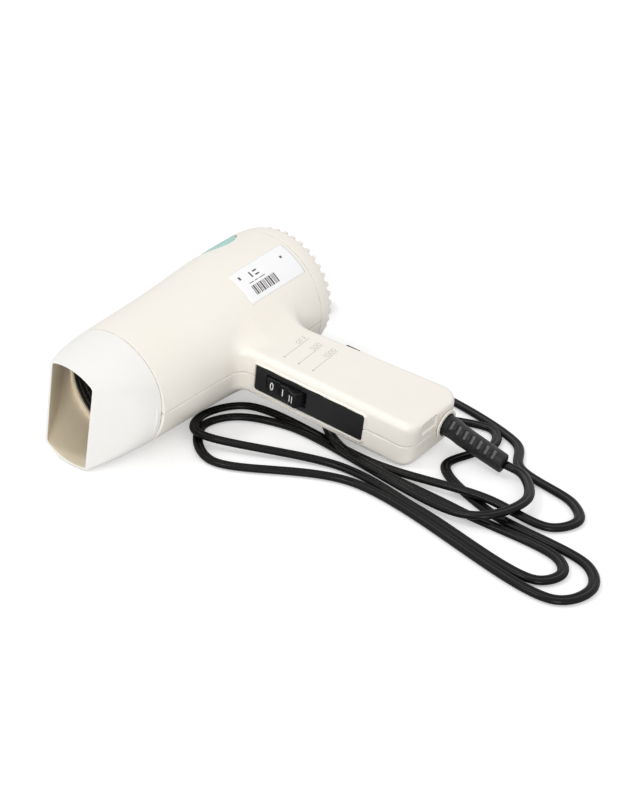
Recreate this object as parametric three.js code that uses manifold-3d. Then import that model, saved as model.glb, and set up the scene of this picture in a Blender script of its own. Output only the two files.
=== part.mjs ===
// Hair dryer, lying on its side. Millimetres, +Z up.
// The dryer is drawn in its own frame: Y is the air axis (nozzle toward -Y), X runs down the handle,
// Z is square to the plane in which the two casing halves meet. The last lines lay it on its side.
import * as THREE from 'three';
import { mergeVertices } from 'three/addons/utils/BufferGeometryUtils.js';
import Module from 'manifold-3d';

const wasm = await Module();
wasm.setup();

// ---------- driving dimensions ----------
const GAP = 0.3;
const WALL = 2.2;
const AROUND = 48;

// casing barrel: outer radius against distance from the nozzle seam
const BARREL = [
  [33.1, 0], [34.0, 20], [34.8, 40], [36.1, 60], [37.5, 75], [38.6, 90], [39.3, 105], [39.6, 117], [39.3, 126],
];
const BARREL_LENGTH = 126;

// handle: frame origin on the air axis, leaning back a little; s runs down it, v is square to it (rear +)
const HANDLE_Y = 78.8;
const HANDLE_LEAN = THREE.MathUtils.degToRad(2.84);
const HANDLE_END = 142.1;
const HANDLE_FRONT = -22.2;
const HANDLE_REAR_ROOT = 18.2;
const HANDLE_REAR_END = 23.6;
const HANDLE_TAPER_FROM = 45;
const HANDLE_TAPER_RUN = 85;
const HANDLE_HALF = 13.6;
const HANDLE_EDGE = 4.0;
const HANDLE_END_ROUND = 7.5;
const HANDLE_REAR_ROUND = 10.5;
const END_SLANT = 0.08;
const SLANT_FROM = 112;
const HANDLE_END_CROWN = 0.45;
const HANDLE_END_WALL = 2.6;
// fillets where the handle runs into the barrel: [s where the arc starts, its radius, share of it that turns]
const ROOT_FRONT = [46, 8.5, 0.96];
const ROOT_REAR = [52, 14.3, 0.96];
const ROOT_FACE = [47, 20, 0.815];

// nozzle
const NOZZLE_LENGTH = 34.2;
const MOUTH_HALF = 15.1;
const MOUTH_RADIUS = 30.9;
const NOZZLE_WALL = 1.5;
// the flat sides run out FLAT_STOP before the seam, FLAT_SHORT inside the round
const FLAT_STOP = 3.0;
const FLAT_SHORT = 0.6;
const NOZZLE_TURN = THREE.MathUtils.degToRad(5.3);
const SPIGOT_R = 30.3;
const SPIGOT_WALL = 1.6;
const SPIGOT_REACH = 6.4;
const SPIGOT_ROOT = 3.2;
const SHOULDER = 1.2;

// rear cover
const COVER_END = 136.6;
const RIB_END = 139.7;
const RIB_R = 36.9;
const RIBS = 40;
const COVER_WALL = 135.4;
const SKIRT_R = 36.3;
const SKIRT_START = 121;
const VENT_WIDTH = 3.0;

// badge
const BADGE_PHI = THREE.MathUtils.degToRad(140);
const BADGE_Y = 107.5;
const BADGE_HALF_Y = 16;
const BADGE_HALF_W = 18;
const BADGE_SINK = 0.35;
const BADGE_BACK = 1.2;
const POCKET_DEPTH = 1.5;

// switch plate and rocker
const PLATE_S0 = 44.3;
const PLATE_S1 = 112.7;
const PLATE_HALF = 8.1;
const PLATE_FACE = -22.7;
const PLATE_THICK = 2.2;
const BEAD = 1.1;
const ROCKER_S0 = 51.7;
const ROCKER_S1 = 77.2;
const ROCKER_HALF = 4.9;
const PIVOT_S = 64.4;
const PIVOT_DROP = 5.5;
const PIVOT_BORE = 1.5;
const PIVOT_PIN = 1.2;
const TERMINAL_PITCH = 9;

// rear button
const BUTTON_S0 = 71;
const BUTTON_S1 = 80.5;
const BUTTON_HALF = 9.2;
const BUTTON_OUT = 4.8;
const BUTTON_DEPTH = 9;
const FLANGE_THICK = 1;
const SWITCH_TOP = 9.6;

// cord end
const CORD_V = 10.0;
const COLLAR_R = 8.3;
const NECK_BORE = 6.45;
const NECK_R = 7.05;
const RELIEF_START = 136.5;
const RELIEF_END = 182.4;
const RELIEF_BASE = [5.7, 5.7];
const RELIEF_TIP = [5.3, 4.7];
const RELIEF_LEAN = 9.2 / 41;
const SLOTS = 7;
const SLOT_START = 148.6;
const SLOT_PITCH = 4.6;
const SLOT_TURN = THREE.MathUtils.degToRad(35);
const CLAMP_S = 127.2;
const CLAMP_POSTS = [4.2, 15.8];
const CORD_WIDTH = 5.4;
const CORD_THICK = 3.0;

// cord route on the surface it lies on, from the strain relief to the plug
const CORD_ROUTE = [
  [109.9, 37.6, 6.6], [121, 35, 6.1], [134.5, 15, 7], [128, -7, 7.2], [112, -12.5, 5], [-8, 11, 2],
  [-38.5, 1.5, 2], [-45.2, -16, 1.9], [-19, -40.5, 2], [52, -15.5, 2], [181, -43, 2], [190, -27.5, 2],
  [181, -12, 2], [120, 2, 2], [82, 26, 2], [87, 45.5, 2], [91, 59.5, 2], [82, 72.3, 2], [5, 54.5, 2],
  [-8.5, 72, 2], [3, 92, 2], [99, 67.5, 2], [114, 46, 2], [151, 31.5, 2], [160, 19, 2], [152, 6.5, 2],
  [115, 6.5, 5.2], [55, 5.5, 2.4], [-40, 16, 2], [-52.6, -4, 2.2], [-39, -27, 5.4], [40, -6.5, 2],
  [94, -17.5, 2], [167, -35, 2], [174, -24.7, 2], [167, -14.5, 2], [107.5, -6, 2], [30, 5.8, 5.3],
  [-14.5, 50, 2], [-78, 118, 6.8],
];
const PLUG_HALF = 6.85;
const PLUG_LENGTH = 36.5;
const PIN_SPACING = 18.6;
const SLEEVE_LENGTH = 10;
const PIN_LENGTH = 8.5;

// how the dryer lies
const REST_ROLL = THREE.MathUtils.degToRad(10.043);
const REST_PITCH = THREE.MathUtils.degToRad(3.454);
const REST_SHIFT = [-70.5, -52.8, 33.04];
const CENTRE_X = 0.292;

// ---------- helpers ----------
const paint = {
  cream: { color: 0xe9dcc3, roughness: 0.45 },
  white: { color: 0xeeeae2, roughness: 0.5 },
  black: { color: 0x0c0c0d, roughness: 0.3 },
  rubber: { color: 0x161617, roughness: 0.7 },
  teal: { color: 0x2b9a86, roughness: 0.4 },
  mica: { color: 0xb99c66, roughness: 0.8 },
  steel: { color: 0xa9abad, roughness: 0.35, metalness: 1 },
  brass: { color: 0xb9924a, roughness: 0.35, metalness: 1 },
  grey: { color: 0x55585c, roughness: 0.6 },
  red: { color: 0x9b2a22, roughness: 0.5 },
  blue: { color: 0x2a4d8f, roughness: 0.5 },
};

function bare(geometry) {
  const g = geometry.index ? geometry.toNonIndexed() : geometry;
  const out = new THREE.BufferGeometry();
  out.setAttribute('position', g.getAttribute('position').clone());
  return mergeVertices(out, 1e-4);
}

function solid(geometry) {
  const g = bare(geometry);
  const pos = g.getAttribute('position').array;
  const idx = Array.from(g.index.array);
  const tri = [];
  for (let i = 0; i < idx.length; i += 3) {
    const [a, b, c] = [idx[i], idx[i + 1], idx[i + 2]];
    if (a !== b && b !== c && a !== c) tri.push(a, b, c);
  }
  let volume = 0;
  const v = (i) => new THREE.Vector3(pos[3 * i], pos[3 * i + 1], pos[3 * i + 2]);
  for (let i = 0; i < tri.length; i += 3) {
    volume += v(tri[i]).dot(v(tri[i + 1]).cross(v(tri[i + 2])));
  }
  if (volume < 0) {
    for (let i = 0; i < tri.length; i += 3) {
      [tri[i + 1], tri[i + 2]] = [tri[i + 2], tri[i + 1]];
    }
  }
  const mesh = new wasm.Mesh({ numProp: 3, vertProperties: new Float32Array(pos), triVerts: new Uint32Array(tri) });
  mesh.merge();
  return new wasm.Manifold(mesh);
}

function box(x0, x1, y0, y1, z0, z1) {
  const g = new THREE.BoxGeometry(x1 - x0, y1 - y0, z1 - z0);
  g.translate((x0 + x1) / 2, (y0 + y1) / 2, (z0 + z1) / 2);
  return g;
}

function cylinder(axis, radius, from, to, a = 0, b = 0, sides = 24) {
  const g = new THREE.CylinderGeometry(radius, radius, to - from, sides);
  const mid = (from + to) / 2;
  if (axis === 'x') {
    g.rotateZ(Math.PI / 2);
    g.translate(mid, a, b);
  } else if (axis === 'y') {
    g.translate(a, mid, b);
  } else {
    g.rotateX(Math.PI / 2);
    g.translate(a, b, mid);
  }
  return g;
}

// a body turned about Y from [radius, y] points; the profile is closed on itself
function turned(points, around = AROUND) {
  const list = points.map(([r, y]) => new THREE.Vector2(r, y));
  list.push(list[0].clone());
  return new THREE.LatheGeometry(list, around);
}

function ring(r0, r1, y0, y1, around = AROUND) {
  return turned([[r0, y0], [r1, y0], [r1, y1], [r0, y1]], around);
}

// an outline of [a, b] points drawn out square to itself
function slab(points, depth, bevel = 0) {
  const shape = new THREE.Shape(points.map(([a, b]) => new THREE.Vector2(a, b)));
  return new THREE.ExtrudeGeometry(shape, {
    depth: depth - 2 * bevel, bevelEnabled: bevel > 0, bevelSize: bevel, bevelThickness: bevel,
    bevelOffset: -bevel, bevelSegments: 2, steps: 1, curveSegments: 8,
  }).translate(0, 0, bevel);
}

function roundedOutline(a0, a1, b0, b1, r, n = 5) {
  const points = [];
  const centres = [[a1 - r, b0 + r, -90], [a1 - r, b1 - r, 0], [a0 + r, b1 - r, 90], [a0 + r, b0 + r, 180]];
  for (const [ca, cb, start] of centres) {
    for (let i = 0; i <= n; i++) {
      const t = THREE.MathUtils.degToRad(start + 90 * i / n);
      points.push([ca + r * Math.cos(t), cb + r * Math.sin(t)]);
    }
  }
  return points;
}

// a section carried along stations: each station gives where a section point (p, q) goes
function swept(section, stations, place) {
  const shape = new THREE.Shape(section.map(([a, b]) => new THREE.Vector2(a, b)));
  const g = new THREE.ExtrudeGeometry(shape, { depth: 1, steps: stations.length - 1, bevelEnabled: false });
  const pos = g.getAttribute('position');
  for (let i = 0; i < pos.count; i++) {
    const k = Math.round(pos.getZ(i) * (stations.length - 1));
    const p = place(stations[k], pos.getX(i), pos.getY(i), k);
    pos.setXYZ(i, p[0], p[1], p[2]);
  }
  return g;
}

function tube(points, radius, steps, sides = 8) {
  const path = new THREE.CatmullRomCurve3(points.map((p) => new THREE.Vector3(...p)), false, 'centripetal');
  const shape = new THREE.Shape();
  for (let i = 0; i < sides; i++) {
    const t = 2 * Math.PI * i / sides;
    if (i) shape.lineTo(radius * Math.cos(t), radius * Math.sin(t));
    else shape.moveTo(radius, 0);
  }
  return new THREE.ExtrudeGeometry(shape, { steps, extrudePath: path, bevelEnabled: false });
}

// least clearance of a wound wire to itself, measured between points half a curl or more apart
function leastGap(name, points, steps, radius) {
  const at = points.map((p) => new THREE.Vector3(...p));
  let least = Infinity;
  for (let i = 0; i < at.length; i++) {
    for (let j = i + steps / 2; j < at.length; j++) least = Math.min(least, at[i].distanceTo(at[j]));
  }
  console.log(`${name}: least gap to itself ${(least - 2 * radius).toFixed(2)} mm`);
}

const onHandle = new THREE.Matrix4().makeTranslation(0, HANDLE_Y, 0)
  .multiply(new THREE.Matrix4().makeRotationZ(HANDLE_LEAN));

function handleSolid(geometry) {
  return solid(geometry.applyMatrix4(onHandle));
}

const dryer = new THREE.Group();
dryer.name = 'dryer';

function add(name, body, look, parent = dryer) {
  let geometry = body;
  if (!body.isBufferGeometry) {
    const mesh = body.getMesh();
    geometry = new THREE.BufferGeometry();
    const positions = new Float32Array(mesh.numVert * 3);
    for (let i = 0; i < mesh.numVert; i++) {
      for (let k = 0; k < 3; k++) {
        positions[3 * i + k] = mesh.vertProperties[i * mesh.numProp + k];
      }
    }
    geometry.setAttribute('position', new THREE.BufferAttribute(positions, 3));
    geometry.setIndex(new THREE.BufferAttribute(new Uint32Array(mesh.triVerts), 1));
  }
  const mesh = new THREE.Mesh(geometry, new THREE.MeshStandardMaterial({ ...paint[look] }));
  mesh.name = name;
  parent.add(mesh);
  return mesh;
}

// ---------- casing ----------
const barrelCurve = new THREE.SplineCurve(BARREL.map(([r, y]) => new THREE.Vector2(r, y)));
const barrelPoints = barrelCurve.getPoints(9).map((p) => [p.x, p.y]);

function barrelRadius(y) {
  for (let i = 1; i < barrelPoints.length; i++) {
    const [r0, y0] = barrelPoints[i - 1];
    const [r1, y1] = barrelPoints[i];
    if (y <= y1) return r0 + (r1 - r0) * (y - y0) / (y1 - y0);
  }
  return barrelPoints[barrelPoints.length - 1][0];
}

function barrelBody(inset, y0, y1, around = AROUND) {
  const points = [[0, y0]];
  points.push([barrelRadius(Math.max(y0, 0)) - inset, y0]);
  for (const [r, y] of barrelPoints) {
    if (y > y0 + 0.5 && y < y1 - 0.5) points.push([r - inset, y]);
  }
  points.push([barrelRadius(Math.min(y1, BARREL_LENGTH)) - inset, y1]);
  points.push([0, y1]);
  const list = points.map(([r, y]) => new THREE.Vector2(r, y));
  return new THREE.LatheGeometry(list, around);
}

// rise of a face as it runs into the barrel
function swell(s, [start, r, share]) {
  const d = THREE.MathUtils.clamp(start - s, 0, share * r);
  return r - Math.sqrt(r * r - d * d);
}

function endRound(s, end, r) {
  const d = s - (end - r);
  return d <= 0 ? 0 : r - Math.sqrt(Math.max(r * r - d * d, 0));
}

function rearFace(s) {
  const t = THREE.MathUtils.clamp((s - HANDLE_TAPER_FROM) / HANDLE_TAPER_RUN, 0, 1);
  return THREE.MathUtils.lerp(HANDLE_REAR_ROOT, HANDLE_REAR_END, t);
}

// the unit section has corners of radius CORNER: they are stretched so that each edge keeps its own radius
const CORNER = 0.2;
function stretched(value, size, edge) {
  const a = Math.abs(value);
  const flat = Math.max(size - edge, 0);
  const out = a <= 1 - CORNER ? a / (1 - CORNER) * flat : flat + (a - 1 + CORNER) / CORNER * (size - flat);
  return Math.sign(value) * out;
}

const OUTER_STATIONS = [24, 28, 30.7, 33, 35, 36.5, 38, 39.5, 41, 43, 45, 47, 52, 60, 130];
const INNER_STATIONS = [24, 30.7, 35, 39, 43, 47, 52, 129];
const LEAST_EDGE = 1.2;

function handleBody(inset, end) {
  const outside = inset === 0;
  const stations = outside ? [...OUTER_STATIONS] : [...INNER_STATIONS];
  const frontRound = HANDLE_END_ROUND - inset;
  const rearRound = HANDLE_REAR_ROUND - inset;
  const bends = outside ? 6 : 3;
  for (let i = 0; i <= bends; i++) {
    stations.push(end - rearRound + rearRound * Math.sin(Math.PI / 2 * i / bends));
  }
  const section = roundedOutline(-1, 1, -1, 1, CORNER, outside ? 4 : 2);
  return swept(section, stations, (s, p, q) => {
    const turn = endRound(s, end, frontRound);
    const front = HANDLE_FRONT + inset - swell(s, ROOT_FRONT) + turn;
    const rear = rearFace(s) - inset + swell(s, ROOT_REAR) - endRound(s, end, rearRound);
    const high = HANDLE_HALF - inset + swell(s, ROOT_FACE) - HANDLE_END_CROWN * turn;
    const edge = Math.max(HANDLE_EDGE - inset, LEAST_EDGE) + swell(s, ROOT_FACE);
    const mid = (front + rear) / 2;
    const wide = (rear - front) / 2;
    const v = mid + stretched(p, wide, edge);
    const slant = END_SLANT * THREE.MathUtils.clamp((s - SLANT_FROM) / (HANDLE_END - SLANT_FROM), 0, 1);
    return [s + slant * v, v, stretched(q, high, edge)];
  });
}

const barrelOuter = solid(barrelBody(0, 0, BARREL_LENGTH));
const handleOuter = handleSolid(handleBody(0, HANDLE_END));
const barrelInner = solid(barrelBody(WALL, -1, BARREL_LENGTH + 1, 32));
const handleInner = handleSolid(handleBody(WALL, HANDLE_END - HANDLE_END_WALL));
const bead = handleSolid(slab(roundedOutline(PLATE_S0 - BEAD, PLATE_S1 + BEAD, -PLATE_HALF - BEAD,
  PLATE_HALF + BEAD, 2.2), 2.6, 0.5).rotateX(Math.PI / 2).translate(0, HANDLE_FRONT + 1.8, 0));
const plateHole = handleSolid(slab(roundedOutline(PLATE_S0, PLATE_S1, -PLATE_HALF, PLATE_HALF, 1.4), 8)
  .rotateX(Math.PI / 2).translate(0, HANDLE_FRONT + 5, 0));
// x runs out of the slanted end face
const atEnd = new THREE.Matrix4().makeTranslation(HANDLE_END, 0, 0)
  .multiply(new THREE.Matrix4().makeRotationZ(-Math.atan(END_SLANT)));
const collarHole = handleSolid(cylinder('x', NECK_R + GAP, -9, 2, CORD_V, 0, 32).applyMatrix4(atEnd));
const BUTTON_MID = (BUTTON_S0 + BUTTON_S1) / 2;
const BUTTON_FACE = rearFace(BUTTON_MID) + BUTTON_OUT;
const buttonHole = handleSolid(box(BUTTON_S0 - GAP, BUTTON_S1 + GAP,
  BUTTON_FACE - BUTTON_DEPTH, BUTTON_FACE + 4, -BUTTON_HALF - GAP, BUTTON_HALF + GAP));
const endPocket = handleSolid(box(-1.5, 2, -12.4, 0.4, 4.4, 11.0).applyMatrix4(atEnd));

const badgeAxis = new THREE.Matrix4().makeTranslation(0, BADGE_Y, 0)
  .multiply(new THREE.Matrix4().makeRotationY(-BADGE_PHI));

// the oval is drawn in the plane square to the ray at BADGE_PHI; x runs out along that ray
function badgeOval(grow, x0, x1) {
  const points = [];
  for (let i = 0; i < 36; i++) {
    const t = 2 * Math.PI * i / 36;
    points.push([(BADGE_HALF_Y + grow) * Math.cos(t), (BADGE_HALF_W + grow) * Math.sin(t)]);
  }
  const g = slab(points, x1 - x0);
  g.applyMatrix4(new THREE.Matrix4().makeBasis(
    new THREE.Vector3(0, 1, 0), new THREE.Vector3(0, 0, 1), new THREE.Vector3(1, 0, 0)));
  g.translate(x0, 0, 0);
  return solid(g.applyMatrix4(badgeAxis));
}

const badgePocket = badgeOval(GAP, 10, 50).subtract(solid(barrelBody(POCKET_DEPTH, -1, BARREL_LENGTH + 1)));
const halfTop = solid(box(-80, 160, -10, 140, GAP / 2, 60));
const halfBottom = solid(box(-80, 160, -10, 140, -60, -GAP / 2));

// bosses for the four casing screws, [s, v] on the handle frame
const BOSSES = [[131.5, -13], [119, -5], [88, 12], [54, 12]];
const BOSS_R = 3.4;
const SCREW_R = 1.4;
const HEAD_R = 2.8;
const HEAD_SEAT = -9.5;
const BOSS_ROOT = HANDLE_HALF - 1;
const POST_R = 2.3;
const POST_BORE = 1.2;
const POST_TOP = 1.6;

const shell = barrelOuter.add(handleOuter).add(bead)
  .subtract(barrelInner).subtract(handleInner)
  .subtract(plateHole).subtract(collarHole).subtract(buttonHole).subtract(endPocket).subtract(badgePocket);

let top = shell.intersect(halfTop);
let bottom = shell.intersect(halfBottom);
for (const v of CLAMP_POSTS) {
  bottom = bottom.add(handleSolid(cylinder('z', POST_R, -BOSS_ROOT, POST_TOP, CLAMP_S, v, 14)))
    .subtract(handleSolid(cylinder('z', POST_BORE, -7, POST_TOP + 1, CLAMP_S, v, 12)));
}
for (const [s, v] of BOSSES) {
  top = top.add(handleSolid(cylinder('z', BOSS_R, GAP / 2, BOSS_ROOT, s, v, 16)))
    .subtract(handleSolid(cylinder('z', SCREW_R + GAP, -1, 10, s, v, 12)));
  bottom = bottom.add(handleSolid(cylinder('z', BOSS_R + 0.4, -BOSS_ROOT, -GAP / 2, s, v, 16)))
    .subtract(handleSolid(cylinder('z', SCREW_R + GAP, -20, 1, s, v, 12)))
    .subtract(handleSolid(cylinder('z', HEAD_R + GAP, -20, HEAD_SEAT, s, v, 16)));
}
add('casing_top', top, 'cream');
add('casing_bottom', bottom, 'cream');

BOSSES.forEach(([s, v], i) => {
  const under = HEAD_SEAT - 0.7;
  const screw = solid(cylinder('z', SCREW_R, under - 0.3, 8.5, s, v, 10))
    .add(solid(cylinder('z', HEAD_R, under - 1.6, under, s, v, 14)))
    .subtract(solid(box(s - 2, s + 2, v - 0.4, v + 0.4, under - 2, under - 0.9)))
    .subtract(solid(box(s - 0.4, s + 0.4, v - 2, v + 2, under - 2, under - 0.9)));
  add(`casing_screw_${i + 1}`, screw.transform(onHandle.elements), 'steel');
});

// badge
const badgeSkin = solid(barrelBody(BADGE_SINK, -1, BARREL_LENGTH + 1))
  .subtract(solid(barrelBody(BADGE_BACK, -2, BARREL_LENGTH + 2)));
add('badge', badgeOval(0, 10, 50).intersect(badgeSkin), 'teal');

// ---------- nozzle ----------
function nozzleForm(inset, front, back) {
  const r0 = BARREL[0][0] - inset;
  const r1 = MOUTH_RADIUS - inset;
  const slope = (r0 - r1) / NOZZLE_LENGTH;
  const at = (y) => r0 + slope * y;
  const round = new THREE.LatheGeometry([
    new THREE.Vector2(0, front), new THREE.Vector2(at(front), front), new THREE.Vector2(at(back), back),
    new THREE.Vector2(0, back),
  ], AROUND);
  const taper = (BARREL[0][0] - FLAT_SHORT - MOUTH_HALF) / (NOZZLE_LENGTH - FLAT_STOP);
  const side = (y) => MOUTH_HALF - inset * Math.sqrt(1 + taper * taper) + taper * (y + NOZZLE_LENGTH);
  const wedge = slab([[-side(front), front], [side(front), front], [side(back), back], [-side(back), back]], 90)
    .translate(0, 0, -45);
  return solid(round).intersect(solid(wedge));
}

const nozzleTurn = new THREE.Matrix4().makeRotationY(NOZZLE_TURN);
let nozzle = nozzleForm(0, -NOZZLE_LENGTH, -GAP)
  .subtract(nozzleForm(NOZZLE_WALL, -NOZZLE_LENGTH - 4, 3));
const spigot = solid(turned([
  [SPIGOT_R - SPIGOT_WALL, -SPIGOT_ROOT], [SPIGOT_R + SHOULDER, -SPIGOT_ROOT], [SPIGOT_R + SHOULDER, -GAP],
  [SPIGOT_R, -GAP], [SPIGOT_R, SPIGOT_REACH], [SPIGOT_R - SPIGOT_WALL, SPIGOT_REACH],
]));
nozzle = nozzle.add(spigot);
add('nozzle', nozzle.transform(nozzleTurn.elements), 'white');

// ---------- front grille, heater ----------
const GRILLE_Y = 9.3;
const GRILLE_RINGS = [20, 12];
const GRILLE_BAR = 0.6;
const SPOKES = 6;
let grille = solid(ring(27.2, 30.7, GRILLE_Y - 1.1, GRILLE_Y + 1.1, 36));
for (const r of GRILLE_RINGS) {
  grille = grille.add(solid(ring(r - GRILLE_BAR, r + GRILLE_BAR, GRILLE_Y - 0.9, GRILLE_Y + 0.9, 24)));
}
for (let i = 0; i < SPOKES; i++) {
  const bar = box(-GRILLE_BAR, GRILLE_BAR, GRILLE_Y - 0.8, GRILLE_Y + 0.8, GRILLE_RINGS[1] - 0.2, 28);
  grille = grille.add(solid(bar.applyMatrix4(new THREE.Matrix4().makeRotationY(2 * Math.PI * i / SPOKES))));
}
add('front_grille', grille, 'black');
add('heater_tube', solid(ring(26.6, 27.3, 10.8, 70, 40)), 'mica');

// two mica boards, each slotted halfway for the other
const BOARD_HALF = 20.5;
const BOARD_THIN = 0.4;
const BOARD_Y = [16, 64];
const SLOT_END = 40;
const boardA = solid(box(-BOARD_THIN, BOARD_THIN, ...BOARD_Y, -BOARD_HALF, BOARD_HALF))
  .subtract(solid(box(-1, 1, SLOT_END - GAP, BOARD_Y[1] + 1, -BOARD_THIN - 0.35, BOARD_THIN + 0.35)));
const boardB = solid(box(-BOARD_HALF, BOARD_HALF, ...BOARD_Y, -BOARD_THIN, BOARD_THIN))
  .subtract(solid(box(-BOARD_THIN - 0.35, BOARD_THIN + 0.35, BOARD_Y[0] - 1, SLOT_END + GAP, -1, 1)));
add('heater_board_a', boardA, 'mica');
add('heater_board_b', boardB, 'mica');

const COIL_R = 22.2;
const COIL_TURNS = 8;
const COIL_STEPS = 14;
const COIL_WIRE_R = 0.5;
const COIL_START = 19;
const COIL_RUN = 42;
const coilPoints = [];
for (let i = 0; i <= COIL_TURNS * COIL_STEPS; i++) {
  const t = 2 * Math.PI * i / COIL_STEPS;
  const y = COIL_START + COIL_RUN * i / (COIL_TURNS * COIL_STEPS);
  coilPoints.push([COIL_R * Math.cos(t), y, COIL_R * Math.sin(t)]);
}
leastGap('heater_coil', coilPoints, COIL_STEPS, COIL_WIRE_R);
add('heater_coil', tube(coilPoints, COIL_WIRE_R, COIL_TURNS * COIL_STEPS, 5), 'steel');

add('thermostat', solid(cylinder('x', 6, 0.8, 4.6, 54, 9, 20)), 'steel');
add('thermal_fuse', solid(cylinder('y', 1.7, 24, 34, -5, 4.5, 12)), 'steel');

// ---------- motor, fan ----------
const MOUNT_BORE = 13.4;
const MOUNT_RIM = [33.2, 34.8];
const VANES = 6;
const CAN_R = 13.0;
const SHAFT_R = 1.0;
const SHAFT_BORE = 1.5;
let mount = solid(ring(...MOUNT_RIM, 74, 98, 36)).add(solid(ring(MOUNT_BORE, MOUNT_BORE + 1.4, 73, 94, 24)));
for (let i = 0; i < VANES; i++) {
  const vane = box(-0.7, 0.7, 76, 92, MOUNT_BORE + 0.7, MOUNT_RIM[0] + 0.8);
  mount = mount.add(solid(vane.applyMatrix4(new THREE.Matrix4().makeRotationY(2 * Math.PI * (i + 0.5) / VANES))));
}
add('motor_mount', mount, 'cream');
add('motor_can', solid(turned([
  [0, 68], [CAN_R - 0.6, 68], [CAN_R, 68.6], [CAN_R, 93.5], [SHAFT_BORE, 93.5], [SHAFT_BORE, 72], [0, 72],
], 28)), 'steel');
add('motor_end_cap', solid(turned([
  [SHAFT_BORE, 93.9], [11.5, 93.9], [11.5, 95.6], [4, 95.6], [4, 97.2], [SHAFT_BORE, 97.2],
], 24)), 'grey');
add('motor_shaft', solid(cylinder('y', SHAFT_R, 72.6, 113, 0, 0, 16)), 'steel');

const FAN_R = 32.4;
const BLADES = 7;
const BLADE_STATIONS = [9.6, 17, 24.5, FAN_R];
const BLADE_MID = 105.2;
const BLADE_CHORD = 13.2;
const BLADE_HALF = 0.65;
// blade section: [thickness, place along the chord], with a point midway on each face to follow the twist
const bladeSection = [
  [-BLADE_HALF, 0], [BLADE_HALF, 0], [BLADE_HALF, 0.5], [BLADE_HALF, 1], [-BLADE_HALF, 1], [-BLADE_HALF, 0.5],
];
const HUB_BORE = 1.3;
let fan = solid(turned([
  [HUB_BORE, 98.2], [10.6, 98.2], [10.6, 110], [9.4, 112.4], [HUB_BORE, 112.4],
], 28));
for (let i = 0; i < BLADES; i++) {
  const blade = swept(bladeSection, BLADE_STATIONS, (r, p, q) => {
    const pitch = THREE.MathUtils.degToRad(50 - 0.5 * (r - BLADE_STATIONS[0]));
    const along = (q - 0.5) * BLADE_CHORD;
    const angle = (0.75 * along / Math.tan(pitch) + p) / r;
    return [r * Math.sin(angle), BLADE_MID + 0.86 * along, r * Math.cos(angle)];
  });
  fan = fan.add(solid(blade.applyMatrix4(new THREE.Matrix4().makeRotationY(2 * Math.PI * i / BLADES))));
}
add('fan', fan, 'white');
add('rectifier_board', solid(cylinder('y', 11, 65.6, 67.2, 0, 0, 32)), 'mica');

// ---------- rear cover ----------
let cover = solid(turned([
  [0, COVER_WALL], [SKIRT_R - 1.1, COVER_WALL], [SKIRT_R - 1.1, SKIRT_START], [SKIRT_R, SKIRT_START],
  [SKIRT_R, BARREL_LENGTH + GAP], [39.3, BARREL_LENGTH + GAP], [39.0, 130], [38.4, 134], [37.4, COVER_END],
  [RIB_R, COVER_END + 0.2], [RIB_R, RIB_END - 1.3], [RIB_R - 1.3, RIB_END], [9, RIB_END], [8, RIB_END + 1],
  [0, RIB_END + 1],
], RIBS));
const VENT_R = [25, 34.6];
const INNER_VENT_R = [11.5, 22.5];
const ventOutline = [
  [VENT_R[0], 130], [VENT_R[1], 130], [VENT_R[1], COVER_END], [45, COVER_END], [45, 145], [VENT_R[0], 145],
];
for (let i = 0; i < RIBS; i++) {
  const turn = new THREE.Matrix4().makeRotationY(2 * Math.PI * (i + 0.5) / RIBS);
  const vent = slab(ventOutline, VENT_WIDTH).translate(0, 0, -VENT_WIDTH / 2);
  cover = cover.subtract(solid(vent.applyMatrix4(turn)));
  if (i % 2 === 0) {
    const inner = box(...INNER_VENT_R, 130, 145, -VENT_WIDTH / 2 + 0.1, VENT_WIDTH / 2 - 0.1);
    cover = cover.subtract(solid(inner.applyMatrix4(turn)));
  }
}
add('rear_cover', cover, 'cream');

const SCREEN_Y = 132;
const SCREEN_WIRE = 0.4;
const SCREEN_PITCH = 16;
let screen = solid(ring(33.6, 34.8, SCREEN_Y - 0.6, SCREEN_Y + 0.6, 32));
for (let i = -1; i <= 1; i++) {
  const across = [SCREEN_PITCH * i - SCREEN_WIRE, SCREEN_PITCH * i + SCREEN_WIRE];
  const deep = [SCREEN_Y - 0.3, SCREEN_Y + 0.3];
  const reach = Math.sqrt(34 * 34 - (SCREEN_PITCH * i) ** 2);
  screen = screen.add(solid(box(...across, ...deep, -reach, reach)));
  screen = screen.add(solid(box(-reach, reach, ...deep, ...across)));
}
add('intake_screen', screen, 'grey');

// ---------- switch ----------
const plate = slab(roundedOutline(PLATE_S0 + GAP, PLATE_S1 - GAP, -PLATE_HALF + GAP, PLATE_HALF - GAP, 1.2),
  PLATE_THICK).rotateX(Math.PI / 2).translate(0, PLATE_FACE + PLATE_THICK, 0);
const plateOpening = slab(roundedOutline(ROCKER_S0, ROCKER_S1, -ROCKER_HALF, ROCKER_HALF, 0.8), 8)
  .rotateX(Math.PI / 2).translate(0, PLATE_FACE + 5, 0);
add('switch_plate', handleSolid(plate).subtract(handleSolid(plateOpening)), 'black');

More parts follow.
